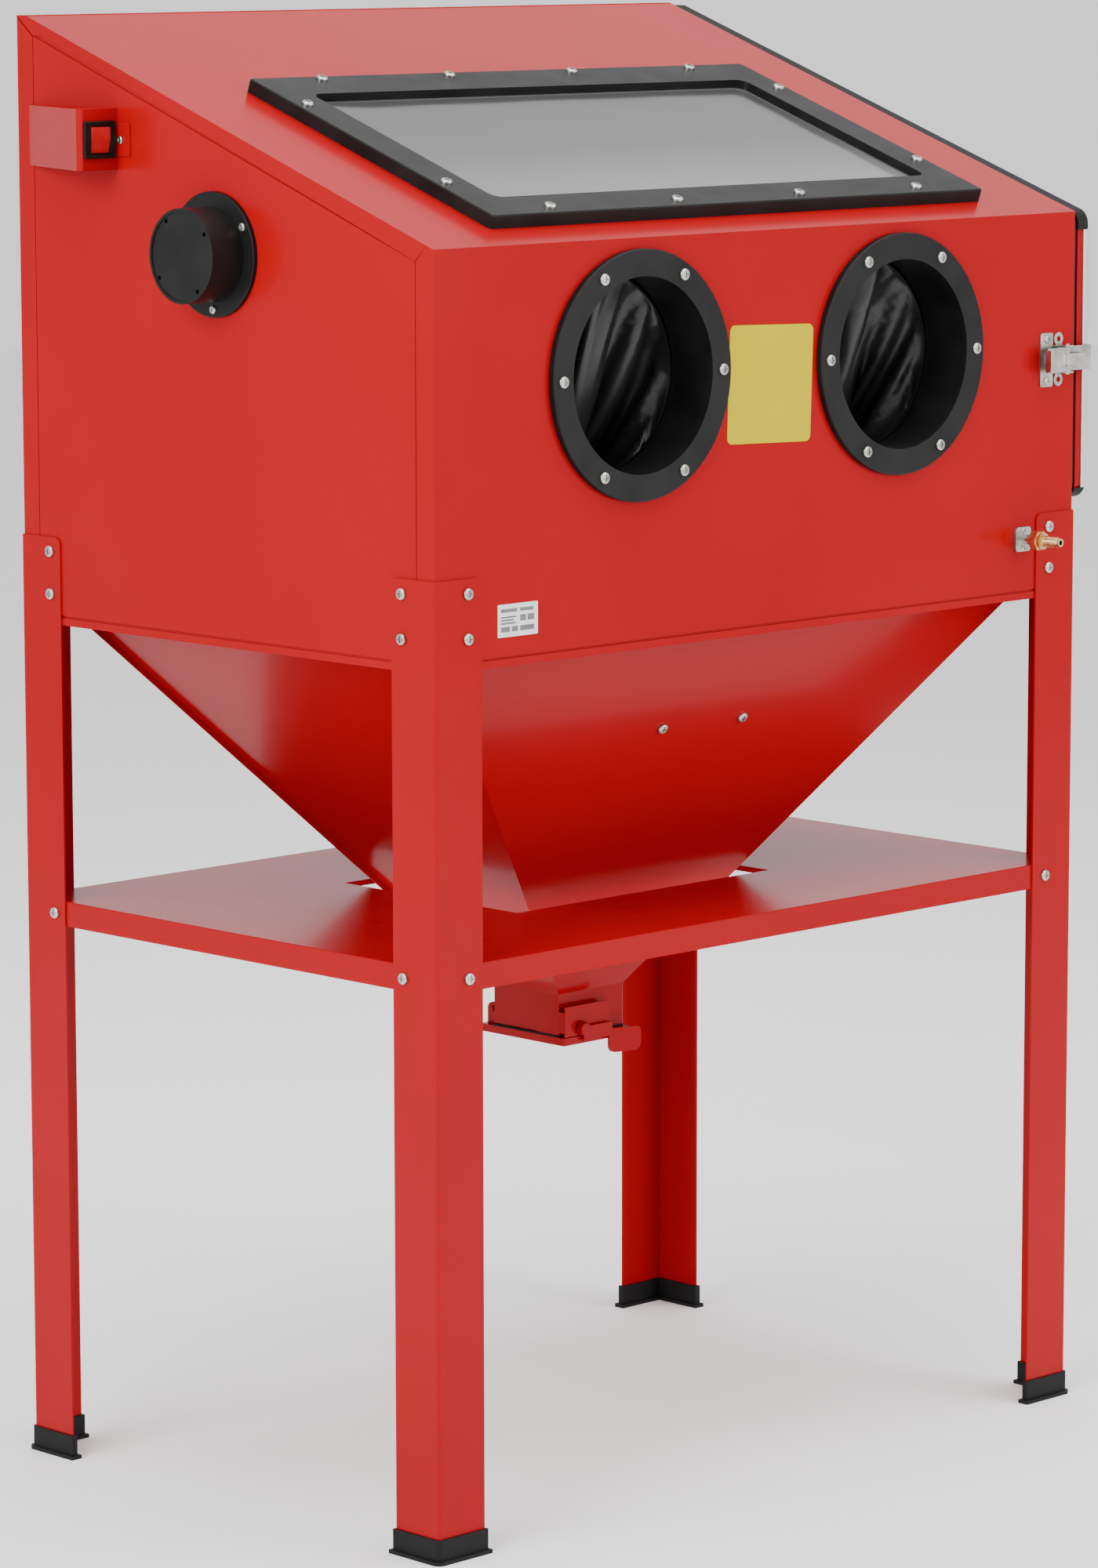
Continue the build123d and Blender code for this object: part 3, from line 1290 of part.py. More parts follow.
# ---- Switch -------------------------------------------------------------------------------------
switch_mid_z = switch_low + switch_h / 2
bezel_x = -half_w - switch_deep + bezel_w / 2 + bezel_in      # centre of the bezel, from the middle plane
skirt_t = 1.2
skirt_len = 16.0
well_w = rocker_w + 2 * rocker_clear
well_h = rocker_h + 2 * rocker_clear
switch_front = y_mid + switch_face_y
with BuildPart() as switch_housing:
    with BuildSketch(level(switch_low)) as wedge:
        with BuildLine():
            Polyline(
                (-half_w, switch_face_y),
                (-half_w - switch_deep, switch_face_y),
                (-half_w - switch_deep, switch_face_y + 8),
                (-half_w, switch_back_y),
                close=True,
            )
        make_face()
    extrude(amount=switch_h)
    fillet(switch_housing.edges().filter_by(Axis.Z).group_by(Axis.X)[0], 2.5)
    with BuildSketch(level(switch_low + sheet)):
        with BuildLine():
            Polyline(
                (-half_w, switch_face_y + sheet),
                (-half_w - switch_deep + sheet, switch_face_y + sheet),
                (-half_w - switch_deep + sheet, switch_face_y + 8 - sheet * 0.4),
                (-half_w, switch_back_y - sheet * 3),
                close=True,
            )
        make_face()
    extrude(amount=switch_h - 2 * sheet, mode=Mode.SUBTRACT)
    with BuildSketch(facing_left(x_l)):
        with Locations((-switch_face_y + switch_flange / 2 - sheet / 2, switch_mid_z)):
            Rectangle(switch_flange + sheet, switch_h * 0.55)
    extrude(amount=sheet)
    with BuildSketch(facing_front(switch_front)):
        with Locations((bezel_x, switch_mid_z)):
            Rectangle(well_w + 2 * skirt_t, well_h + 2 * skirt_t)
    extrude(amount=-sheet * 2, mode=Mode.SUBTRACT)
    add(punch_switch_screw, mode=Mode.SUBTRACT)
switch_housing.part.label = "switch_housing"
export_step(switch_housing.part, "parts/switch_housing.step")

rocker_pin_r = 1.5
pivot_y = switch_face_y + 4.0
with BuildPart() as switch_bezel:
    with BuildSketch(facing_front(switch_front)):
        with Locations((bezel_x, switch_mid_z)):
            RectangleRounded(bezel_w, bezel_h, 2)
    extrude(amount=bezel_t)
    fillet(switch_bezel.faces().sort_by(Axis.Y)[0].edges(), 1.0)
    with BuildSketch(facing_front(switch_front)):
        with Locations((bezel_x, switch_mid_z)):
            Rectangle(well_w + 2 * skirt_t, well_h + 2 * skirt_t)
    extrude(amount=-skirt_len)
    with BuildSketch(facing_front(switch_front - bezel_t)):
        with Locations((bezel_x, switch_mid_z)):
            Rectangle(well_w, well_h)
    extrude(amount=-bezel_t - skirt_len, mode=Mode.SUBTRACT)
    with BuildSketch(across.offset(bezel_x)):
        with Locations((pivot_y, switch_mid_z)):
            Circle(rocker_pin_r + pin_clear)
    extrude(amount=bezel_w / 2 + 1, both=True, mode=Mode.SUBTRACT)
switch_bezel.part.label = "switch_bezel"
export_step(switch_bezel.part, "parts/switch_bezel.step")

rocker_turn = 15.0
rocker_r = rocker_h / 2
rocker_out = 8.0            # ridge of the rocker in front of its pivot
with BuildPart() as switch_rocker:
    with BuildSketch(across.offset(bezel_x)) as rocker_side:
        with Locations((pivot_y, switch_mid_z)):
            Circle(rocker_r)
        with BuildLine(mode=Mode.PRIVATE) as cut_line:
            Polyline(
                (pivot_y - rocker_out, switch_mid_z + rocker_r * 2),
                (pivot_y - rocker_out, switch_mid_z),
                (pivot_y - rocker_out + 2 * rocker_r * tan(radians(rocker_turn)), switch_mid_z - rocker_r * 2),
                (pivot_y - 3 * rocker_out, switch_mid_z - rocker_r * 2),
                (pivot_y - 3 * rocker_out, switch_mid_z + rocker_r * 2),
                close=True,
            )
        make_face(cut_line.edges(), mode=Mode.SUBTRACT)
        with Locations((pivot_y + rocker_r, switch_mid_z)):
            Rectangle(rocker_r * 1.4, rocker_h * 1.5, mode=Mode.SUBTRACT)
    extrude(amount=rocker_w / 2, both=True)
    with BuildSketch(across.offset(bezel_x)):
        with Locations((pivot_y, switch_mid_z)):
            Circle(rocker_pin_r)
    extrude(amount=well_w / 2 + skirt_t, both=True)
switch_rocker.part.label = "switch_rocker"
export_step(switch_rocker.part, "parts/switch_rocker.step")

switch_screw_made = pan_screws(
    facing_left(x_l - sheet), [(-switch_screw[0], switch_screw[1])], 3 * sheet + 3,
    r=small_head_r, h=small_head_h, core=small_shank_r,
)
# ---- Air inlet ----------------------------------------------------------------------------------
inlet_plate_w = 24.0
inlet_plate_h = 26.0
inlet_screw_up = 9.6
inlet_head_r = 3.0
inlet_spots = [(inlet_x, inlet_z - inlet_screw_up), (inlet_x, inlet_z + inlet_screw_up)]
punch_inlet_screws = punch(facing_front(y_f), inlet_spots, small_shank_r)
inlet_screws_made = pan_screws(
    facing_front(y_f - inlet_flange_t), inlet_spots, inlet_flange_t - 0.5,
    r=inlet_head_r, h=1.8, core=small_shank_r,
)
with BuildPart() as inlet_body:
    with BuildSketch(facing_front(y_f)):
        with Locations((inlet_x, inlet_z)):
            RectangleRounded(inlet_plate_w, inlet_plate_h, 4)
    extrude(amount=inlet_flange_t)
    with BuildSketch(facing_front(y_f)):
        with Locations((inlet_x, inlet_z)):
            Circle(inlet_body_r)
    extrude(amount=inlet_body_end)
    with BuildSketch(facing_front(y_f)):
        with Locations((inlet_x, inlet_z)):
            Circle(inlet_body_r - 1 - touch_gap)
    extrude(amount=-8)
    with BuildSketch(facing_front(y_f - inlet_body_end)):
        with Locations((inlet_x, inlet_z)):
            Circle(inlet_bore_r)
    extrude(amount=-inlet_body_end - 8, mode=Mode.SUBTRACT)
    add(punch_inlet_screws, mode=Mode.SUBTRACT)
inlet_body.part.label = "inlet_body"
export_step(inlet_body.part, "parts/inlet_body.step")

barb_pitch = 5.0
barb_r = 6.0
nipple_collar = 4.0
barb_starts = [inlet_hex_end + nipple_collar + 3 + k * barb_pitch for k in range(4)]
with BuildPart() as inlet_nipple:
    with BuildSketch(Plane(origin=(x_mid + inlet_x, y_f, inlet_z), x_dir=(0, -1, 0), z_dir=(1, 0, 0))):
        with BuildLine():
            Polyline(
                (inlet_hex_end, inlet_bore_r),
                (inlet_hex_end, inlet_hex_r * 0.8),
                (inlet_hex_end + nipple_collar, inlet_hex_r * 0.8),
                (inlet_hex_end + nipple_collar, barb_r * 0.8),
                *[
                    spot
                    for low in barb_starts
                    for spot in ((low, barb_r * 0.8), (low, barb_r), (low + barb_pitch - 1, barb_r * 0.8))
                ],
                (inlet_end, barb_r * 0.75),
                (inlet_end, inlet_bore_r),
                close=True,
            )
        make_face()
    revolve(axis=Axis((x_mid + inlet_x, y_f, inlet_z), (0, -1, 0)))
    with BuildSketch(facing_front(y_f - inlet_body_end)):
        with Locations((inlet_x, inlet_z)):
            RegularPolygon(inlet_hex_r, 6)
            Circle(inlet_bore_r, mode=Mode.SUBTRACT)
    extrude(amount=inlet_hex_end - inlet_body_end)
inlet_nipple.part.label = "inlet_nipple"
export_step(inlet_nipple.part, "parts/inlet_nipple.step")

# ---- Plates on the front ------------------------------------------------------------------------
label_x = -2.5
label_z = 1130.0
rating_x = -358.0
rating_z = 922.7
with BuildPart() as label_plate:
    with BuildSketch(facing_front(y_f)):
        with Locations(Location((label_x, label_z, 0), (0, 0, 1), -2.0)):
            RectangleRounded(label_w, label_h, 7)
    extrude(amount=label_t)
label_plate.part.label = "label_plate"
export_step(label_plate.part, "parts/label_plate.step")

with BuildPart() as rating_plate:
    with BuildSketch(facing_front(y_f)):
        with Locations((rating_x, rating_z)):
            RectangleRounded(rating_w, rating_h, 1)
    extrude(amount=label_t)
rating_plate.part.label = "rating_plate"
export_step(rating_plate.part, "parts/rating_plate.step")

# ---- Inside the chamber -------------------------------------------------------------------------
grid_w = 880.0
grid_d = 578.0
grid_rows = 16
cross_bars = 3
cross_pitch = 380.0
bar_gap = 0.05              # long bars rest on the cross bars
with BuildPart() as work_grid:
    with BuildSketch(level(rim_low + sheet)):
        with GridLocations(cross_pitch, grid_d, cross_bars, 1):
            Rectangle(grid_bar, grid_d)
    extrude(amount=grid_t / 2)
    with BuildSketch(level(rim_low + sheet + grid_t / 2 + bar_gap)):
        with GridLocations(grid_w, grid_pitch, 1, grid_rows):
            Rectangle(grid_w, grid_bar)
    extrude(amount=grid_t / 2)
work_grid.part.label = "work_grid"
export_step(work_grid.part, "parts/work_grid.step")

lamp_z = 1425.0
lamp_h = 26.0
lamp_deep = 54.0
lens_t = 3.0
back_inside = y_b - sheet
with BuildPart() as lamp_housing:
    with BuildSketch(facing_front(back_inside)):
        with Locations((0, lamp_z)):
            Rectangle(lamp_w, lamp_h)
    extrude(amount=lamp_deep)
    chamfer(lamp_housing.edges().filter_by(Axis.X).group_by(Axis.Y)[0].sort_by(Axis.Z)[-1], 10)
lamp_housing.part.label = "lamp_housing"
export_step(lamp_housing.part, "parts/lamp_housing.step")

with BuildPart() as lamp_lens:
    with BuildSketch(facing_front(back_inside - 6)):
        with Locations((0, lamp_z - lamp_h / 2 - lens_t / 2)):
            Rectangle(lamp_w - 20, lens_t)
    extrude(amount=lamp_deep - 12)
lamp_lens.part.label = "lamp_lens"
export_step(lamp_lens.part, "parts/lamp_lens.step")

gun_r = 14.0
gun_len = 110.0
gun_stand = 42.0            # gun axis in front of the back sheet
gun_y = half_d - sheet - gun_stand
clip_t = 2.0
clip_x = -38.0               # clip holds the barrel in front of the trigger
along_gun = across.offset(gun_x)
with BuildPart() as gun_clip:
    with BuildSketch(facing_front(back_inside)):
        with Locations((gun_x + clip_x, gun_z)):
            Rectangle(40, 70)
    extrude(amount=clip_t)
    with BuildSketch(along_gun.offset(clip_x)):
        with Locations((gun_y, gun_z)):
            Circle(gun_r + clip_t)
        with Locations((gun_y + (gun_r + gun_stand) / 2, gun_z)):
            Rectangle(gun_stand - gun_r, 14)
        with Locations((gun_y, gun_z)):
            Circle(gun_r, mode=Mode.SUBTRACT)
        with Locations((gun_y - gun_r, gun_z)):
            Rectangle(gun_r, gun_r * 1.2, mode=Mode.SUBTRACT)
    extrude(amount=9, both=True)
gun_clip.part.label = "gun_clip"
export_step(gun_clip.part, "parts/gun_clip.step")

trigger_x = gun_x - 18
trigger_z = gun_z - gun_r - 6
trigger_pin_r = 2.0
trigger_t = 8.0
with BuildPart() as gun_body:
    with BuildSketch(across.offset(gun_x + gun_len / 2)):
        with Locations((gun_y, gun_z)):
            Circle(gun_r)
    extrude(amount=-gun_len)
    fillet(gun_body.faces().sort_by(Axis.X)[-1].edges(), 4)
    with BuildSketch(Plane(origin=(x_mid, y_mid + gun_y - 9, 0), x_dir=(1, 0, 0), z_dir=(0, -1, 0))):
        with BuildLine():
            Polyline(
                (gun_x + 10, gun_z - 6),
                (gun_x + 46, gun_z - 6),
                (gun_x + 60, gun_z - 104),
                (gun_x + 30, gun_z - 104),
                close=True,
            )
        make_face()
    extrude(amount=-18)
    for side in (-1, 1):
        with BuildSketch(Plane(
            origin=(x_mid, y_mid + gun_y + side * (trigger_t / 2 + fit_gap + 1), 0),
            x_dir=(1, 0, 0),
            z_dir=(0, -1, 0),
        )):
            with Locations((trigger_x, (trigger_z + gun_z - 4) / 2)):
                Rectangle(12, gun_z - trigger_z + 6)
        extrude(amount=1, both=True)
    with BuildSketch(Plane(origin=(x_mid, y_mid + gun_y, 0), x_dir=(1, 0, 0), z_dir=(0, -1, 0))):
        with Locations((trigger_x, trigger_z)):
            Circle(trigger_pin_r)
    extrude(amount=trigger_t / 2 + fit_gap + 2, both=True)
gun_body.part.label = "gun_body"
export_step(gun_body.part, "parts/gun_body.step")

with BuildPart() as gun_trigger:
    with BuildSketch(Plane(origin=(x_mid, y_mid + gun_y, 0), x_dir=(1, 0, 0), z_dir=(0, -1, 0))):
        with Locations((trigger_x, trigger_z)):
            Circle(5)
        with BuildLine():
            Polyline(
                (trigger_x - 5, trigger_z),
                (trigger_x + 5, trigger_z),
                (trigger_x + 8, trigger_z - 30),
                (trigger_x + 3, trigger_z - 58),
                (trigger_x - 3, trigger_z - 58),
                (trigger_x, trigger_z - 30),
                close=True,
            )
        make_face()
        with Locations((trigger_x, trigger_z)):
            Circle(trigger_pin_r + pin_clear, mode=Mode.SUBTRACT)
    extrude(amount=trigger_t / 2, both=True)
gun_trigger.part.label = "gun_trigger"
export_step(gun_trigger.part, "parts/gun_trigger.step")

nozzle_len = 46.0
with BuildPart() as gun_nozzle:
    with BuildSketch(across.offset(gun_x - gun_len / 2)):
        with Locations((gun_y, gun_z)):
            Circle(gun_r - 2)
            Circle(4, mode=Mode.SUBTRACT)
    extrude(amount=-nozzle_len)
    chamfer(gun_nozzle.faces().sort_by(Axis.X)[0].outer_wire().edges(), 5)
gun_nozzle.part.label = "gun_nozzle"
export_step(gun_nozzle.part, "parts/gun_nozzle.step")

# ---- Screws -------------------------------------------------------------------------------------
with BuildPart() as pan_head_screws:
    add(leg_screw_sets)
    add(shelf_screw_sets)
    add(window_screws_made.part)
    add(ring_screws_made.part)
    add(hopper_screws_made.part)
pan_head_screws.part.label = "pan_head_screws"
export_step(pan_head_screws.part, "parts/pan_head_screws.step")

with BuildPart() as small_screws:
    add(dust_screws_made.part)
    add(latch_screws_made.part)
    add(switch_screw_made.part)
    add(inlet_screws_made.part)
small_screws.part.label = "small_screws"
export_step(small_screws.part, "parts/small_screws.step")
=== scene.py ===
"""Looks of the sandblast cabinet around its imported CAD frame. Metres, +Z up, front towards -Y."""
import json
import math

import bpy
import numpy as np
from mathutils import Matrix, Vector


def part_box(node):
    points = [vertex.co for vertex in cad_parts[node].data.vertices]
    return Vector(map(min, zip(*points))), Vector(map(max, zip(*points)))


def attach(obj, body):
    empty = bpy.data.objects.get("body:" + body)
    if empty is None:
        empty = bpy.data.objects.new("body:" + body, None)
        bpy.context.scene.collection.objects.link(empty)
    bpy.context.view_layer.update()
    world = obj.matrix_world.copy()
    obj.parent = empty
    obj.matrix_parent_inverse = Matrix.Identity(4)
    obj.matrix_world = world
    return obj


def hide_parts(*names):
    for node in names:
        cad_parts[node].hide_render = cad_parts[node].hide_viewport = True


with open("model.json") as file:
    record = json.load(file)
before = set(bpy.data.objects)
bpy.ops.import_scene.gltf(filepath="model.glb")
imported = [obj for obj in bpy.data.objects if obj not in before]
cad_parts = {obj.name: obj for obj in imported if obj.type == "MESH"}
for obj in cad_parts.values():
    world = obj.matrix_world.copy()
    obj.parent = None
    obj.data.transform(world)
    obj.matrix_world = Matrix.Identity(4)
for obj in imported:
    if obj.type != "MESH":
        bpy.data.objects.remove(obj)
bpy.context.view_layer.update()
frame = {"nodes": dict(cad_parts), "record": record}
nodes = frame["nodes"]

# ---- Places in the row frame --------------------------------------------------------------------
X_MID, Y_MID = 0.009, 0.02175
HALF_D = 0.3065              # half the shell's depth
Y_FRONT = Y_MID - HALF_D
FRONT_TOP = 1.2845
SLOPE = math.radians(19.5)
PORT_X, PORT_Z = 0.1905, 1.1494


# ---- Materials ----------------------------------------------------------------------------------
def base_material(name, rough, metal=0.0, coat=0.0, coat_rough=0.1, spec=0.5, transmission=0.0):
    """A principled material with its constants set; returns it with its node tree and shader."""
    material = bpy.data.materials.new(name)
    material.use_nodes = True
    tree = material.node_tree
    shader = tree.nodes["Principled BSDF"]
    shader.inputs["Metallic"].default_value = metal
    shader.inputs["Roughness"].default_value = rough
    shader.inputs["Coat Weight"].default_value = coat
    shader.inputs["Coat Roughness"].default_value = coat_rough
    shader.inputs["Specular IOR Level"].default_value = spec
    shader.inputs["Transmission Weight"].default_value = transmission
    return material, tree, shader


def noise(tree, scale, detail=3.0, rough=0.5, stretch=(1, 1, 1)):
    """Object-space noise, optionally stretched."""
    where = tree.nodes.new("ShaderNodeTexCoord")
    mapping = tree.nodes.new("ShaderNodeMapping")
    mapping.inputs["Scale"].default_value = stretch
    tree.links.new(where.outputs["Object"], mapping.inputs["Vector"])
    texture = tree.nodes.new("ShaderNodeTexNoise")
    texture.inputs["Scale"].default_value = scale
    texture.inputs["Detail"].default_value = detail
    texture.inputs["Roughness"].default_value = rough
    tree.links.new(mapping.outputs["Vector"], texture.inputs["Vector"])
    return texture.outputs["Fac"]


def ramp(tree, fac, stops):
    """Colour ramp through (position, colour) stops."""
    node = tree.nodes.new("ShaderNodeValToRGB")
    band = node.color_ramp
    while len(band.elements) < len(stops):
        band.elements.new(0.5)
    for element, (place, colour) in zip(band.elements, stops):
        element.position = place
        element.color = (*colour, 1.0) if len(colour) == 3 else colour
    tree.links.new(fac, node.inputs["Fac"])
    return node.outputs["Color"]


def spread(tree, fac, low, high):
    """Maps a 0-1 value onto a range."""
    node = tree.nodes.new("ShaderNodeMapRange")
    node.inputs["From Min"].default_value = 0.3
    node.inputs["From Max"].default_value = 0.7
    node.inputs["To Min"].default_value = low
    node.inputs["To Max"].default_value = high
    tree.links.new(fac, node.inputs["Value"])
    return node.outputs["Result"]


def bump(tree, shader, fac, strength, distance):
    """Raises the surface by a 0-1 value."""
    node = tree.nodes.new("ShaderNodeBump")
    node.inputs["Strength"].default_value = strength
    node.inputs["Distance"].default_value = distance
    tree.links.new(fac, node.inputs["Height"])
    tree.links.new(node.outputs["Normal"], shader.inputs["Normal"])


def surface(name, dark, light, rough, rough_by=0.05, metal=0.0, coat=0.0, coat_rough=0.1, spec=0.5,
            scale=6.0, grain=0.0, grain_scale=400.0, stretch=(1, 1, 1)):
    """Two close shades mixed by noise, uneven roughness and an optional fine grain."""
    material, tree, shader = base_material(name, rough, metal, coat, coat_rough, spec)
    cloud = noise(tree, scale, stretch=stretch)
    tree.links.new(ramp(tree, cloud, ((0.3, dark), (0.7, light))), shader.inputs["Base Color"])
    tree.links.new(spread(tree, cloud, rough - rough_by, rough + rough_by), shader.inputs["Roughness"])
    if grain:
        bump(tree, shader, noise(tree, grain_scale, detail=2.0, stretch=stretch), grain, 0.0004)
    return material


MATERIALS = {
    "red_paint": surface("red_paint", (0.275, 0.0003, 0.003), (0.310, 0.0006, 0.004), 0.24, 0.03, coat=0.06,
                         coat_rough=0.08, spec=0.08, scale=3.0, grain=0.05, grain_scale=260.0),
    "black_plastic": surface("black_plastic", (0.004, 0.004, 0.004), (0.008, 0.008, 0.008), 0.42, 0.06, spec=0.16,
                             scale=20.0, grain=0.22, grain_scale=900.0),
    "black_rubber": surface("black_rubber", (0.004, 0.004, 0.004), (0.008, 0.008, 0.008), 0.60, 0.08, spec=0.16,
                            scale=24.0, grain=0.25, grain_scale=700.0),
    "glove_rubber": surface("glove_rubber", (0.009, 0.009, 0.009), (0.016, 0.016, 0.016), 0.38, 0.07,
                            scale=14.0, grain=0.2, grain_scale=500.0),
    "zinc_steel": surface("zinc_steel", (0.40, 0.39, 0.36), (0.56, 0.55, 0.52), 0.30, 0.08, metal=1.0,
                          scale=60.0, grain=0.12, grain_scale=600.0),
    "strip_aluminium": surface("strip_aluminium", (0.66, 0.66, 0.67), (0.80, 0.80, 0.81), 0.34, 0.05, metal=1.0,
                               scale=40.0, grain=0.1, grain_scale=500.0, stretch=(1, 1, 0.05)),
    "lamp_lens": surface("lamp_lens", (0.80, 0.81, 0.79), (0.88, 0.88, 0.87), 0.45, scale=30.0),
    "brass": surface("brass", (0.62, 0.40, 0.16), (0.78, 0.56, 0.26), 0.28, 0.08, metal=1.0, scale=120.0,
                     grain=0.1, grain_scale=900.0),
    "yellow_label": surface("yellow_label", (0.44, 0.35, 0.0001), (0.48, 0.38, 0.0003), 0.38, 0.04, spec=0.05,
                            scale=20.0),
    "silver_label": surface("silver_label", (0.60, 0.61, 0.61), (0.72, 0.73, 0.73), 0.42, 0.05, metal=0.3,
                            scale=60.0),
    "rocker_red": surface("rocker_red", (0.32, 0.004, 0.006), (0.44, 0.010, 0.012), 0.18, 0.04, coat=0.6,
                          scale=60.0),
    "gun_aluminium": surface("gun_aluminium", (0.50, 0.50, 0.51), (0.66, 0.66, 0.67), 0.42, 0.08, metal=1.0,
                             scale=50.0, grain=0.25, grain_scale=500.0),
    "nozzle_steel": surface("nozzle_steel", (0.18, 0.18, 0.19), (0.28, 0.28, 0.29), 0.55, 0.08, metal=0.8,
                            scale=60.0),
}


def glass_material():
    """Clear, slightly grey glass."""
    material, tree, shader = base_material("window_glass", 0.04, transmission=0.9)
    shader.inputs["IOR"].default_value = 1.5
    tint = ramp(tree, noise(tree, 4.0), ((0.3, (0.62, 0.64, 0.66)), (0.7, (0.70, 0.72, 0.74))))
    tree.links.new(tint, shader.inputs["Base Color"])
    return material


MATERIALS["window_glass"] = glass_material()
slot_of = {entry["node"]: entry["material_slot"] for entry in frame["record"]["subparts"]}
for name, piece in nodes.items():
    piece.data.materials.clear()
    piece.data.materials.append(MATERIALS[slot_of[name]])


# ---- Small helpers for pieces -------------------------------------------------------------------
def mesh_piece(name, verts, faces, material, body="cabinet", smooth=False):
    """A mesh object riding on a body."""
    mesh = bpy.data.meshes.new(name)
    mesh.from_pydata([tuple(v) for v in verts], [], faces)
    mesh.update()
    mesh.materials.append(MATERIALS[material] if isinstance(material, str) else material)
    piece = bpy.data.objects.new(name, mesh)
    bpy.context.scene.collection.objects.link(piece)
    if smooth:
        mesh.shade_smooth()
    if body:
        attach(piece, body)
    return piece


def on_slope(x, up, out):
    """Point on the sloping top: x from the middle, distance up the slope, distance out of it."""
    return Vector((
        X_MID + x,
        Y_FRONT + up * math.cos(SLOPE) - out * math.sin(SLOPE),
        FRONT_TOP + up * math.sin(SLOPE) + out * math.cos(SLOPE),
    ))


# ---- Gloves -------------------------------------------------------------------------------------
# centre line of a sleeve: depth behind the front sheet, drop below the port, radius
SLEEVE_LINE = ((0.0525, 0.000, 0.0995), (0.100, 0.004, 0.094), (0.150, 0.040, 0.071), (0.196, 0.088, 0.058),
               (0.226, 0.138, 0.046), (0.238, 0.168, 0.040))
HAND_START, HAND_END = (0.240, 0.176), (0.266, 0.252)     # wrist and fingertips: depth, drop
SLUMP_FRAMES, SLUMP_SLACK = 34, 0.11
BOX_MARGIN = 0.001


def smooth_path(points, count):
    """Catmull-Rom samples through points of any size."""
    pts = np.array(points, dtype=float)
    pts = np.vstack([2 * pts[0] - pts[1], pts, 2 * pts[-1] - pts[-2]])
    samples = []
    for t in np.linspace(0, len(points) - 1 - 1e-6, count):
        k = int(t)
        u = t - k
        a, b, c, d = pts[k:k + 4]
        samples.append(0.5 * (2 * b + (c - a) * u + (2 * a - 5 * b + 4 * c - d) * u * u
                              + (3 * b - a - 3 * c + d) * u ** 3))
    return np.array(samples)


def sleeve_mesh(px, around=64, along=44):
    """Open tube from the collar down to the wrist; returns vertices and faces."""
    path = smooth_path(SLEEVE_LINE, along)
    verts, faces = [], []
    for k, (deep, drop, radius) in enumerate(path.tolist()):
        before, after = path[max(k - 1, 0)], path[min(k + 1, along - 1)]
        run = Vector((0.0, float(after[0] - before[0]), float(before[1] - after[1]))).normalized()
        up = Vector((1, 0, 0)).cross(run)
        centre = Vector((X_MID + px, Y_FRONT + deep, PORT_Z - drop))
        for j in range(around):
            a = 2 * math.pi * j / around
            wave = 1 + min(k / 7, 1) * (0.040 * math.sin(3 * a + k * 0.34 + px * 40)
                                        + 0.014 * math.sin(7 * a - k * 0.5))
            verts.append(centre + radius * wave * (Vector((math.cos(a), 0, 0)) + up * math.sin(a)))
    for k in range(along - 1):
        for j in range(around):
            n = (j + 1) % around
            faces.append((k * around + j, k * around + n, (k + 1) * around + n, (k + 1) * around + j))
    return verts, faces, around, along


def slump(piece, around, along, frames, slack):
    """Lets the sleeve sag and crease as cloth, held at the collar and the wrist."""
    pins = piece.vertex_groups.new(name="held")
    pins.add(list(range(2 * around)), 1.0, "REPLACE")
    pins.add(list(range((along - 2) * around, along * around)), 1.0, "REPLACE")
    cloth = piece.modifiers.new("cloth", "CLOTH")
    cloth.settings.vertex_group_mass = "held"
    cloth.settings.quality = 6
    cloth.settings.mass = 0.4
    cloth.settings.tension_stiffness = 12
    cloth.settings.compression_stiffness = 12
    cloth.settings.shear_stiffness = 6
    cloth.settings.bending_stiffness = 1.2
    cloth.settings.air_damping = 3
    cloth.settings.shrink_min = -slack
    cloth.point_cache.frame_start = 1
    cloth.point_cache.frame_end = frames
    scene = bpy.context.scene
    for frame_number in range(1, frames + 1):
        scene.frame_set(frame_number)
    graph = bpy.context.evaluated_depsgraph_get()
    mesh = bpy.data.meshes.new_from_object(piece.evaluated_get(graph))
    piece.modifiers.clear()
    piece.vertex_groups.clear()
    piece.data = mesh
    scene.frame_set(1)


def capsule(points, radii, squash=1.0, segments=16, steps=7):
    """Closed rounded bar through points, as vertices and faces."""
    verts, faces = [], []
    points = [Vector(p) for p in points]
    run = (points[-1] - points[0]).normalized()
    side = run.cross(Vector((0, 1, 0))).normalized()
    depth = side.cross(run).normalized()
    rings = []
    for k in range(steps, 0, -1):
        a = math.pi / 2 * k / steps
        rings.append((points[0] - run * radii[0] * math.sin(a), radii[0] * math.cos(a)))
    rings += list(zip(points, radii))
    for k in range(1, steps + 1):
        a = math.pi / 2 * k / steps
        rings.append((points[-1] + run * radii[-1] * math.sin(a), radii[-1] * math.cos(a)))
    for centre, r in rings:
        r = max(r, 1e-4)
        for j in range(segments):
            a = 2 * math.pi * j / segments
            verts.append(centre + side * r * math.cos(a) + depth * r * squash * math.sin(a))
    for k in range(len(rings) - 1):
        for j in range(segments):
            n = (j + 1) % segments
            faces.append((k * segments + j, k * segments + n, (k + 1) * segments + n, (k + 1) * segments + j))
    faces.append(tuple(reversed(range(segments))))
    faces.append(tuple(range((len(rings) - 1) * segments, len(rings) * segments)))
    return verts, faces


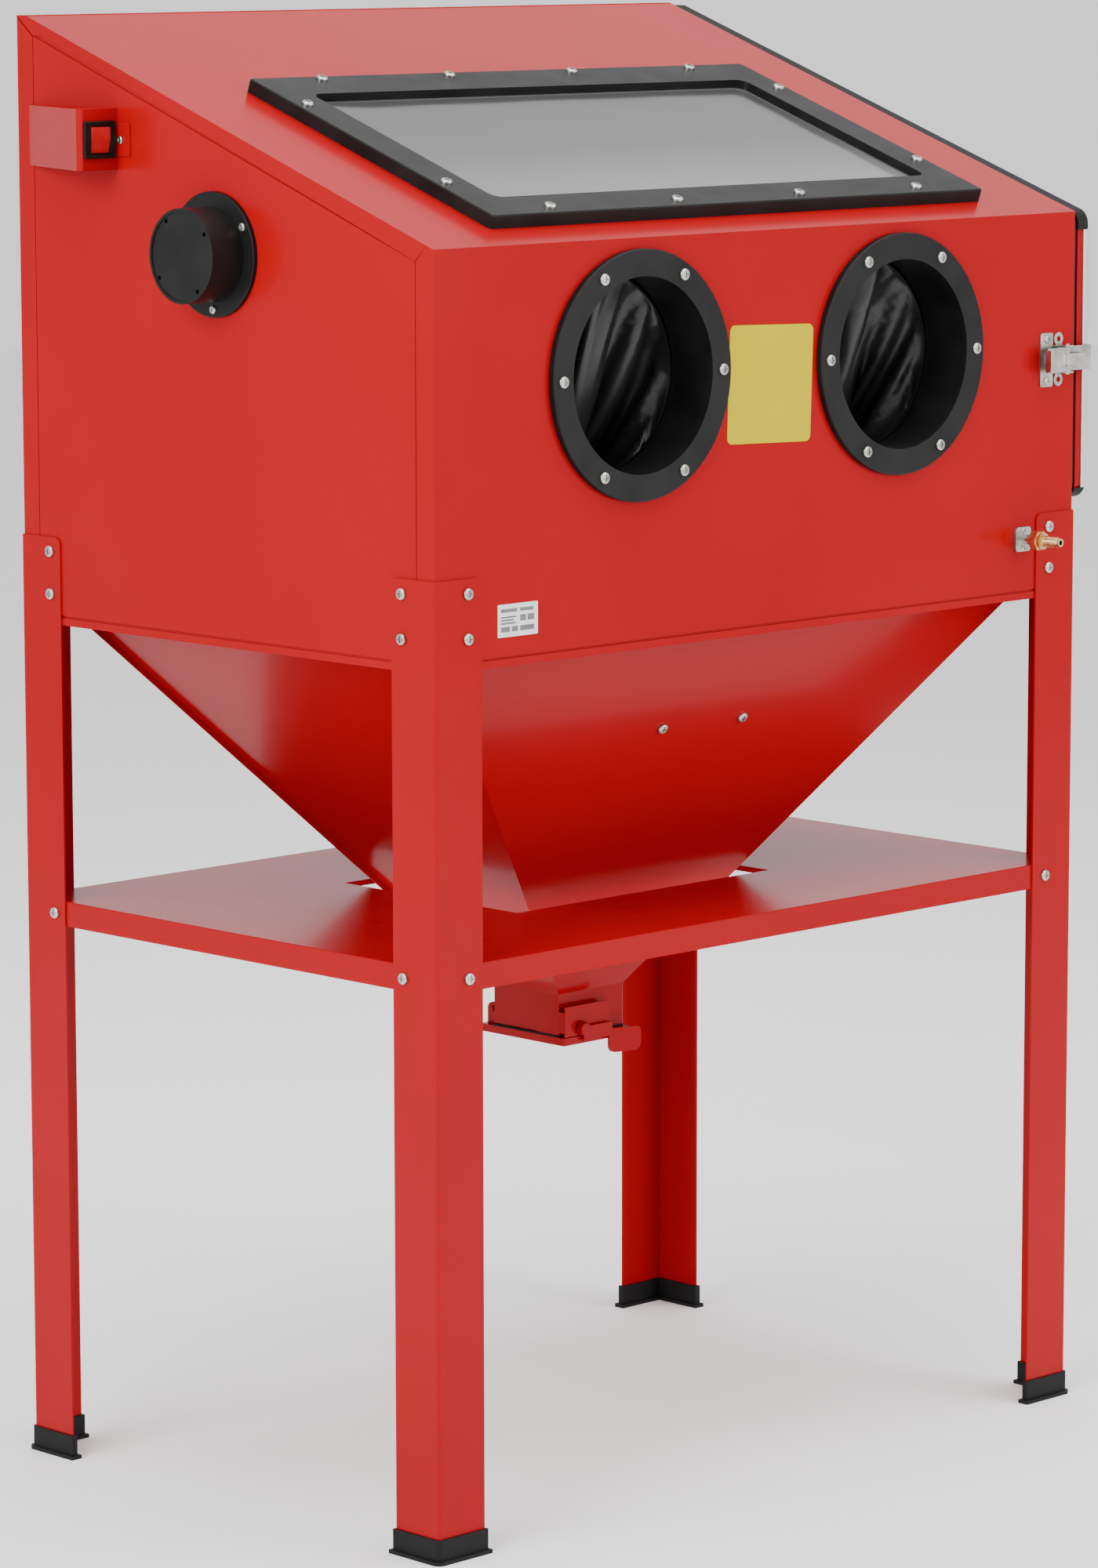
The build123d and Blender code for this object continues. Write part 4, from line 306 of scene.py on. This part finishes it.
def hand_mesh(px, thumb):
    """Palm, four curled fingers and a thumb, welded into one skin."""
    start = Vector((X_MID + px, Y_FRONT + HAND_START[0], PORT_Z - HAND_START[1]))
    end = Vector((X_MID + px, Y_FRONT + HAND_END[0], PORT_Z - HAND_END[1]))
    down = (end - start).normalized()
    across = Vector((1, 0, 0))
    bars = [
        capsule([start - down * 0.020, start + down * 0.012], [0.036, 0.036], 0.9),
        *[
            capsule([start + down * 0.006 + across * half * 0.014, start + down * 0.030 + across * half * 0.016],
                    [0.027, 0.026], 0.7)
            for half in (-1, 1)
        ],
    ]
    for k, length in enumerate((0.030, 0.037, 0.034, 0.024)):
        x = (-0.031 + 0.0205 * k)
        root = start + down * 0.044 + across * x
        tip = root + down * length + Vector((0.1 * x, -0.012, 0))
        bars.append(capsule([root, root.lerp(tip, 0.5) + Vector((0, 0.002, 0)), tip], [0.0115, 0.011, 0.010]))
    side = across * thumb
    root = start + side * 0.028 + down * 0.004
    bars.append(capsule([root, root + side * 0.016 + down * 0.026, root + side * 0.020 + down * 0.044],
                        [0.015, 0.013, 0.0115]))
    verts, faces = [], []
    for bar_verts, bar_faces in bars:
        shift = len(verts)
        verts += bar_verts
        faces += [tuple(v + shift for v in face) for face in bar_faces]
    mesh = bpy.data.meshes.new("hand_work")
    mesh.from_pydata([tuple(v) for v in verts], [], faces)
    work = bpy.data.objects.new("hand_work", mesh)
    bpy.context.scene.collection.objects.link(work)
    weld = work.modifiers.new("weld", "REMESH")
    weld.mode = "VOXEL"
    weld.voxel_size = 0.0028
    soften = work.modifiers.new("soften", "SMOOTH")
    soften.iterations = 8
    soften.factor = 0.5
    graph = bpy.context.evaluated_depsgraph_get()
    skin = bpy.data.meshes.new_from_object(work.evaluated_get(graph))
    out_verts = [v.co.copy() for v in skin.vertices]
    out_faces = [tuple(p.vertices) for p in skin.polygons]
    bpy.data.objects.remove(work)
    return out_verts, out_faces


def glove(name, node, px, thumb):
    """One sleeve with its hand, in place of the plain CAD body and inside its box."""
    verts, faces, around, along = sleeve_mesh(px)
    low, high = (Vector(corner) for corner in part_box(node))
    piece = mesh_piece(name, verts, faces, "glove_rubber", body=None, smooth=True)
    slump(piece, around, along, SLUMP_FRAMES, SLUMP_SLACK)
    sleeve = [v.co.copy() for v in piece.data.vertices]
    sleeve_faces = [tuple(p.vertices) for p in piece.data.polygons]
    bpy.data.objects.remove(piece)
    hand_verts, hand_faces = hand_mesh(px, thumb)
    shift = len(sleeve)
    all_verts = [Vector(tuple(min(max(v[k], low[k] + BOX_MARGIN), high[k] - BOX_MARGIN) for k in range(3)))
                 for v in sleeve + hand_verts]
    piece = mesh_piece(name, all_verts,
                       sleeve_faces + [tuple(v + shift for v in face) for face in hand_faces],
                       "glove_rubber", smooth=True)
    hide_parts(node)


glove("glove_left", "glove_l", -PORT_X, 1)
glove("glove_right", "glove_r", PORT_X, -1)

# ---- Film on the window, bars on the rating plate -----------------------------------------------
VIEW_W, VIEW_H, VIEW_LOW = 0.628, 0.281, 0.084
FILM_SHORT, FILM_CORNER, FILM_OUT = 0.006, 0.014, 0.0056


def film():
    """Thin protective film on the glass, a little short of the opening, lifted at one corner."""
    nx, ny = 72, 36
    half_w, half_h, corner = VIEW_W / 2 - FILM_SHORT, VIEW_H / 2 - FILM_SHORT, FILM_CORNER
    verts, faces = [], []
    for j in range(ny + 1):
        for i in range(nx + 1):
            x = (2 * i / nx - 1) * half_w
            y = (2 * j / ny - 1) * half_h
            ex, ey = abs(x) - (half_w - corner), abs(y) - (half_h - corner)
            if ex > 0 and ey > 0:
                far = math.hypot(ex, ey)
                if far > corner:
                    x = math.copysign(half_w - corner + ex * corner / far, x)
                    y = math.copysign(half_h - corner + ey * corner / far, y)
            ripple = 0.00012 * (math.sin(37 * x + 5 * y) + math.sin(61 * y - 9 * x))
            peel = max(0.0, 1 - math.hypot(x + half_w, y - half_h) / 0.10)
            verts.append(on_slope(x, VIEW_LOW + VIEW_H / 2 + y, FILM_OUT + ripple + 0.002 * peel ** 2))
    for j in range(ny):
        for i in range(nx):
            a = j * (nx + 1) + i
            faces.append((a, a + 1, a + nx + 2, a + nx + 1))
    material, tree, shader = base_material("window_film", 0.16, coat=0.2)
    shader.inputs["Alpha"].default_value = 0.86
    where = tree.nodes.new("ShaderNodeTexCoord")
    split = tree.nodes.new("ShaderNodeSeparateXYZ")
    tree.links.new(where.outputs["Object"], split.inputs["Vector"])
    # Painted reflection: the film's colour runs from a lighter grey at the lower front edge to a dark grey up the
    # slope, in place of the studio's reflection in the glass.
    across = tree.nodes.new("ShaderNodeMapRange")
    across.inputs["From Min"].default_value = Y_FRONT + 0.08
    across.inputs["From Max"].default_value = Y_FRONT + 0.35
    tree.links.new(split.outputs["Y"], across.inputs["Value"])
    painted_reflection_ramp = ramp(tree, across.outputs["Result"],
                 ((0.0, (0.18, 0.18, 0.184)), (0.45, (0.075, 0.075, 0.077)), (1.0, (0.045, 0.045, 0.047))))
    cloud = ramp(tree, noise(tree, 5.0), ((0.35, (0.92, 0.92, 0.92)), (0.7, (1, 1, 1))))
    mix = tree.nodes.new("ShaderNodeMix")
    mix.data_type = "RGBA"
    mix.blend_type = "MULTIPLY"
    mix.inputs["Factor"].default_value = 1.0
    tree.links.new(painted_reflection_ramp, mix.inputs["A"])
    tree.links.new(cloud, mix.inputs["B"])
    tree.links.new(mix.outputs["Result"], shader.inputs["Base Color"])
    mesh_piece("window_film", verts, faces, material, smooth=True)


film()


def bars():
    """Plain grey bars printed on the rating plate, no lettering."""
    material = surface("print_grey", (0.10, 0.10, 0.10), (0.14, 0.14, 0.14), 0.6, scale=80.0)
    low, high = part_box("rating_plate")
    left, base, face_y = low[0], low[2], low[1] - 0.00012
    verts, faces = [], []
    spots = [(0.004, 0.024, 0.022, 0.0034), (0.030, 0.024, 0.018, 0.0034), (0.004, 0.0185, 0.020, 0.0016),
             (0.004, 0.0155, 0.017, 0.0016), (0.004, 0.0125, 0.020, 0.0016), (0.030, 0.0145, 0.008, 0.0060),
             (0.040, 0.0145, 0.009, 0.0060), (0.004, 0.0050, 0.012, 0.0050), (0.019, 0.0050, 0.008, 0.0050),
             (0.030, 0.0050, 0.019, 0.0050)]
    for x, z, w, h in spots:
        shift = len(verts)
        for depth in (0.0, 0.0001):
            verts += [(left + x, face_y + depth, base + z), (left + x + w, face_y + depth, base + z),
                      (left + x + w, face_y + depth, base + z + h), (left + x, face_y + depth, base + z + h)]
        faces += [tuple(shift + v for v in face) for face in
                  ((0, 1, 2, 3), (7, 6, 5, 4), (0, 4, 5, 1), (1, 5, 6, 2), (2, 6, 7, 3), (3, 7, 4, 0))]
    mesh_piece("rating_bars", verts, faces, material)


bars()


# ---- Camera, light, floor -----------------------------------------------------------------------
def look_at(thing, target, roll=0.0):
    """Turns a camera or lamp at its place towards a point."""
    direction = (Vector(target) - thing.location).normalized()
    turn = direction.to_track_quat("-Z", "Y").to_matrix().to_4x4()
    thing.matrix_world = Matrix.Translation(thing.location) @ turn @ Matrix.Rotation(roll, 4, "Z")


CAMERA_AT = (-4.2509, -4.28305, 1.6137)
CAMERA_TO = (-0.4100, -0.38965, 0.7793)
camera_data = bpy.data.cameras.new("camera")
camera_data.lens = 133.41
camera_data.sensor_width = 36.0
camera_data.clip_end = 60.0
camera = bpy.data.objects.new("camera", camera_data)
bpy.context.scene.collection.objects.link(camera)
camera.location = CAMERA_AT
look_at(camera, CAMERA_TO, math.radians(-0.09))
bpy.context.scene.camera = camera


def area_light(name, place, target, size, power):
    """A soft square light."""
    data = bpy.data.lights.new(name, "AREA")
    data.shape = "RECTANGLE"
    data.size, data.size_y = size, size
    data.energy = power
    light = bpy.data.objects.new(name, data)
    light.location = place
    bpy.context.scene.collection.objects.link(light)
    look_at(light, target)


area_light("key_left", (-4.5, -0.6, 3.0), (0, 0, 1.0), 3.0, 260)
area_light("top_soft", (0.3, -0.5, 4.2), (0, 0, 1.2), 3.5, 170)
area_light("front_fill", (1.6, -4.6, 2.2), (0.1, 0, 0.9), 2.5, 130)

world = bpy.data.worlds.new("studio")
bpy.context.scene.world = world
world.use_nodes = True
world.node_tree.nodes["Background"].inputs["Color"].default_value = (1, 1, 1, 1)
world.node_tree.nodes["Background"].inputs["Strength"].default_value = 1.15

floor_material = surface("studio_floor", (0.90, 0.90, 0.90), (0.92, 0.92, 0.92), 0.7, scale=2.0, spec=0.1)
floor = mesh_piece("studio_floor", [(-12, -12, 0), (12, -12, 0), (12, 12, 0), (-12, 12, 0)], [(0, 1, 2, 3)],
                   floor_material, body=None)
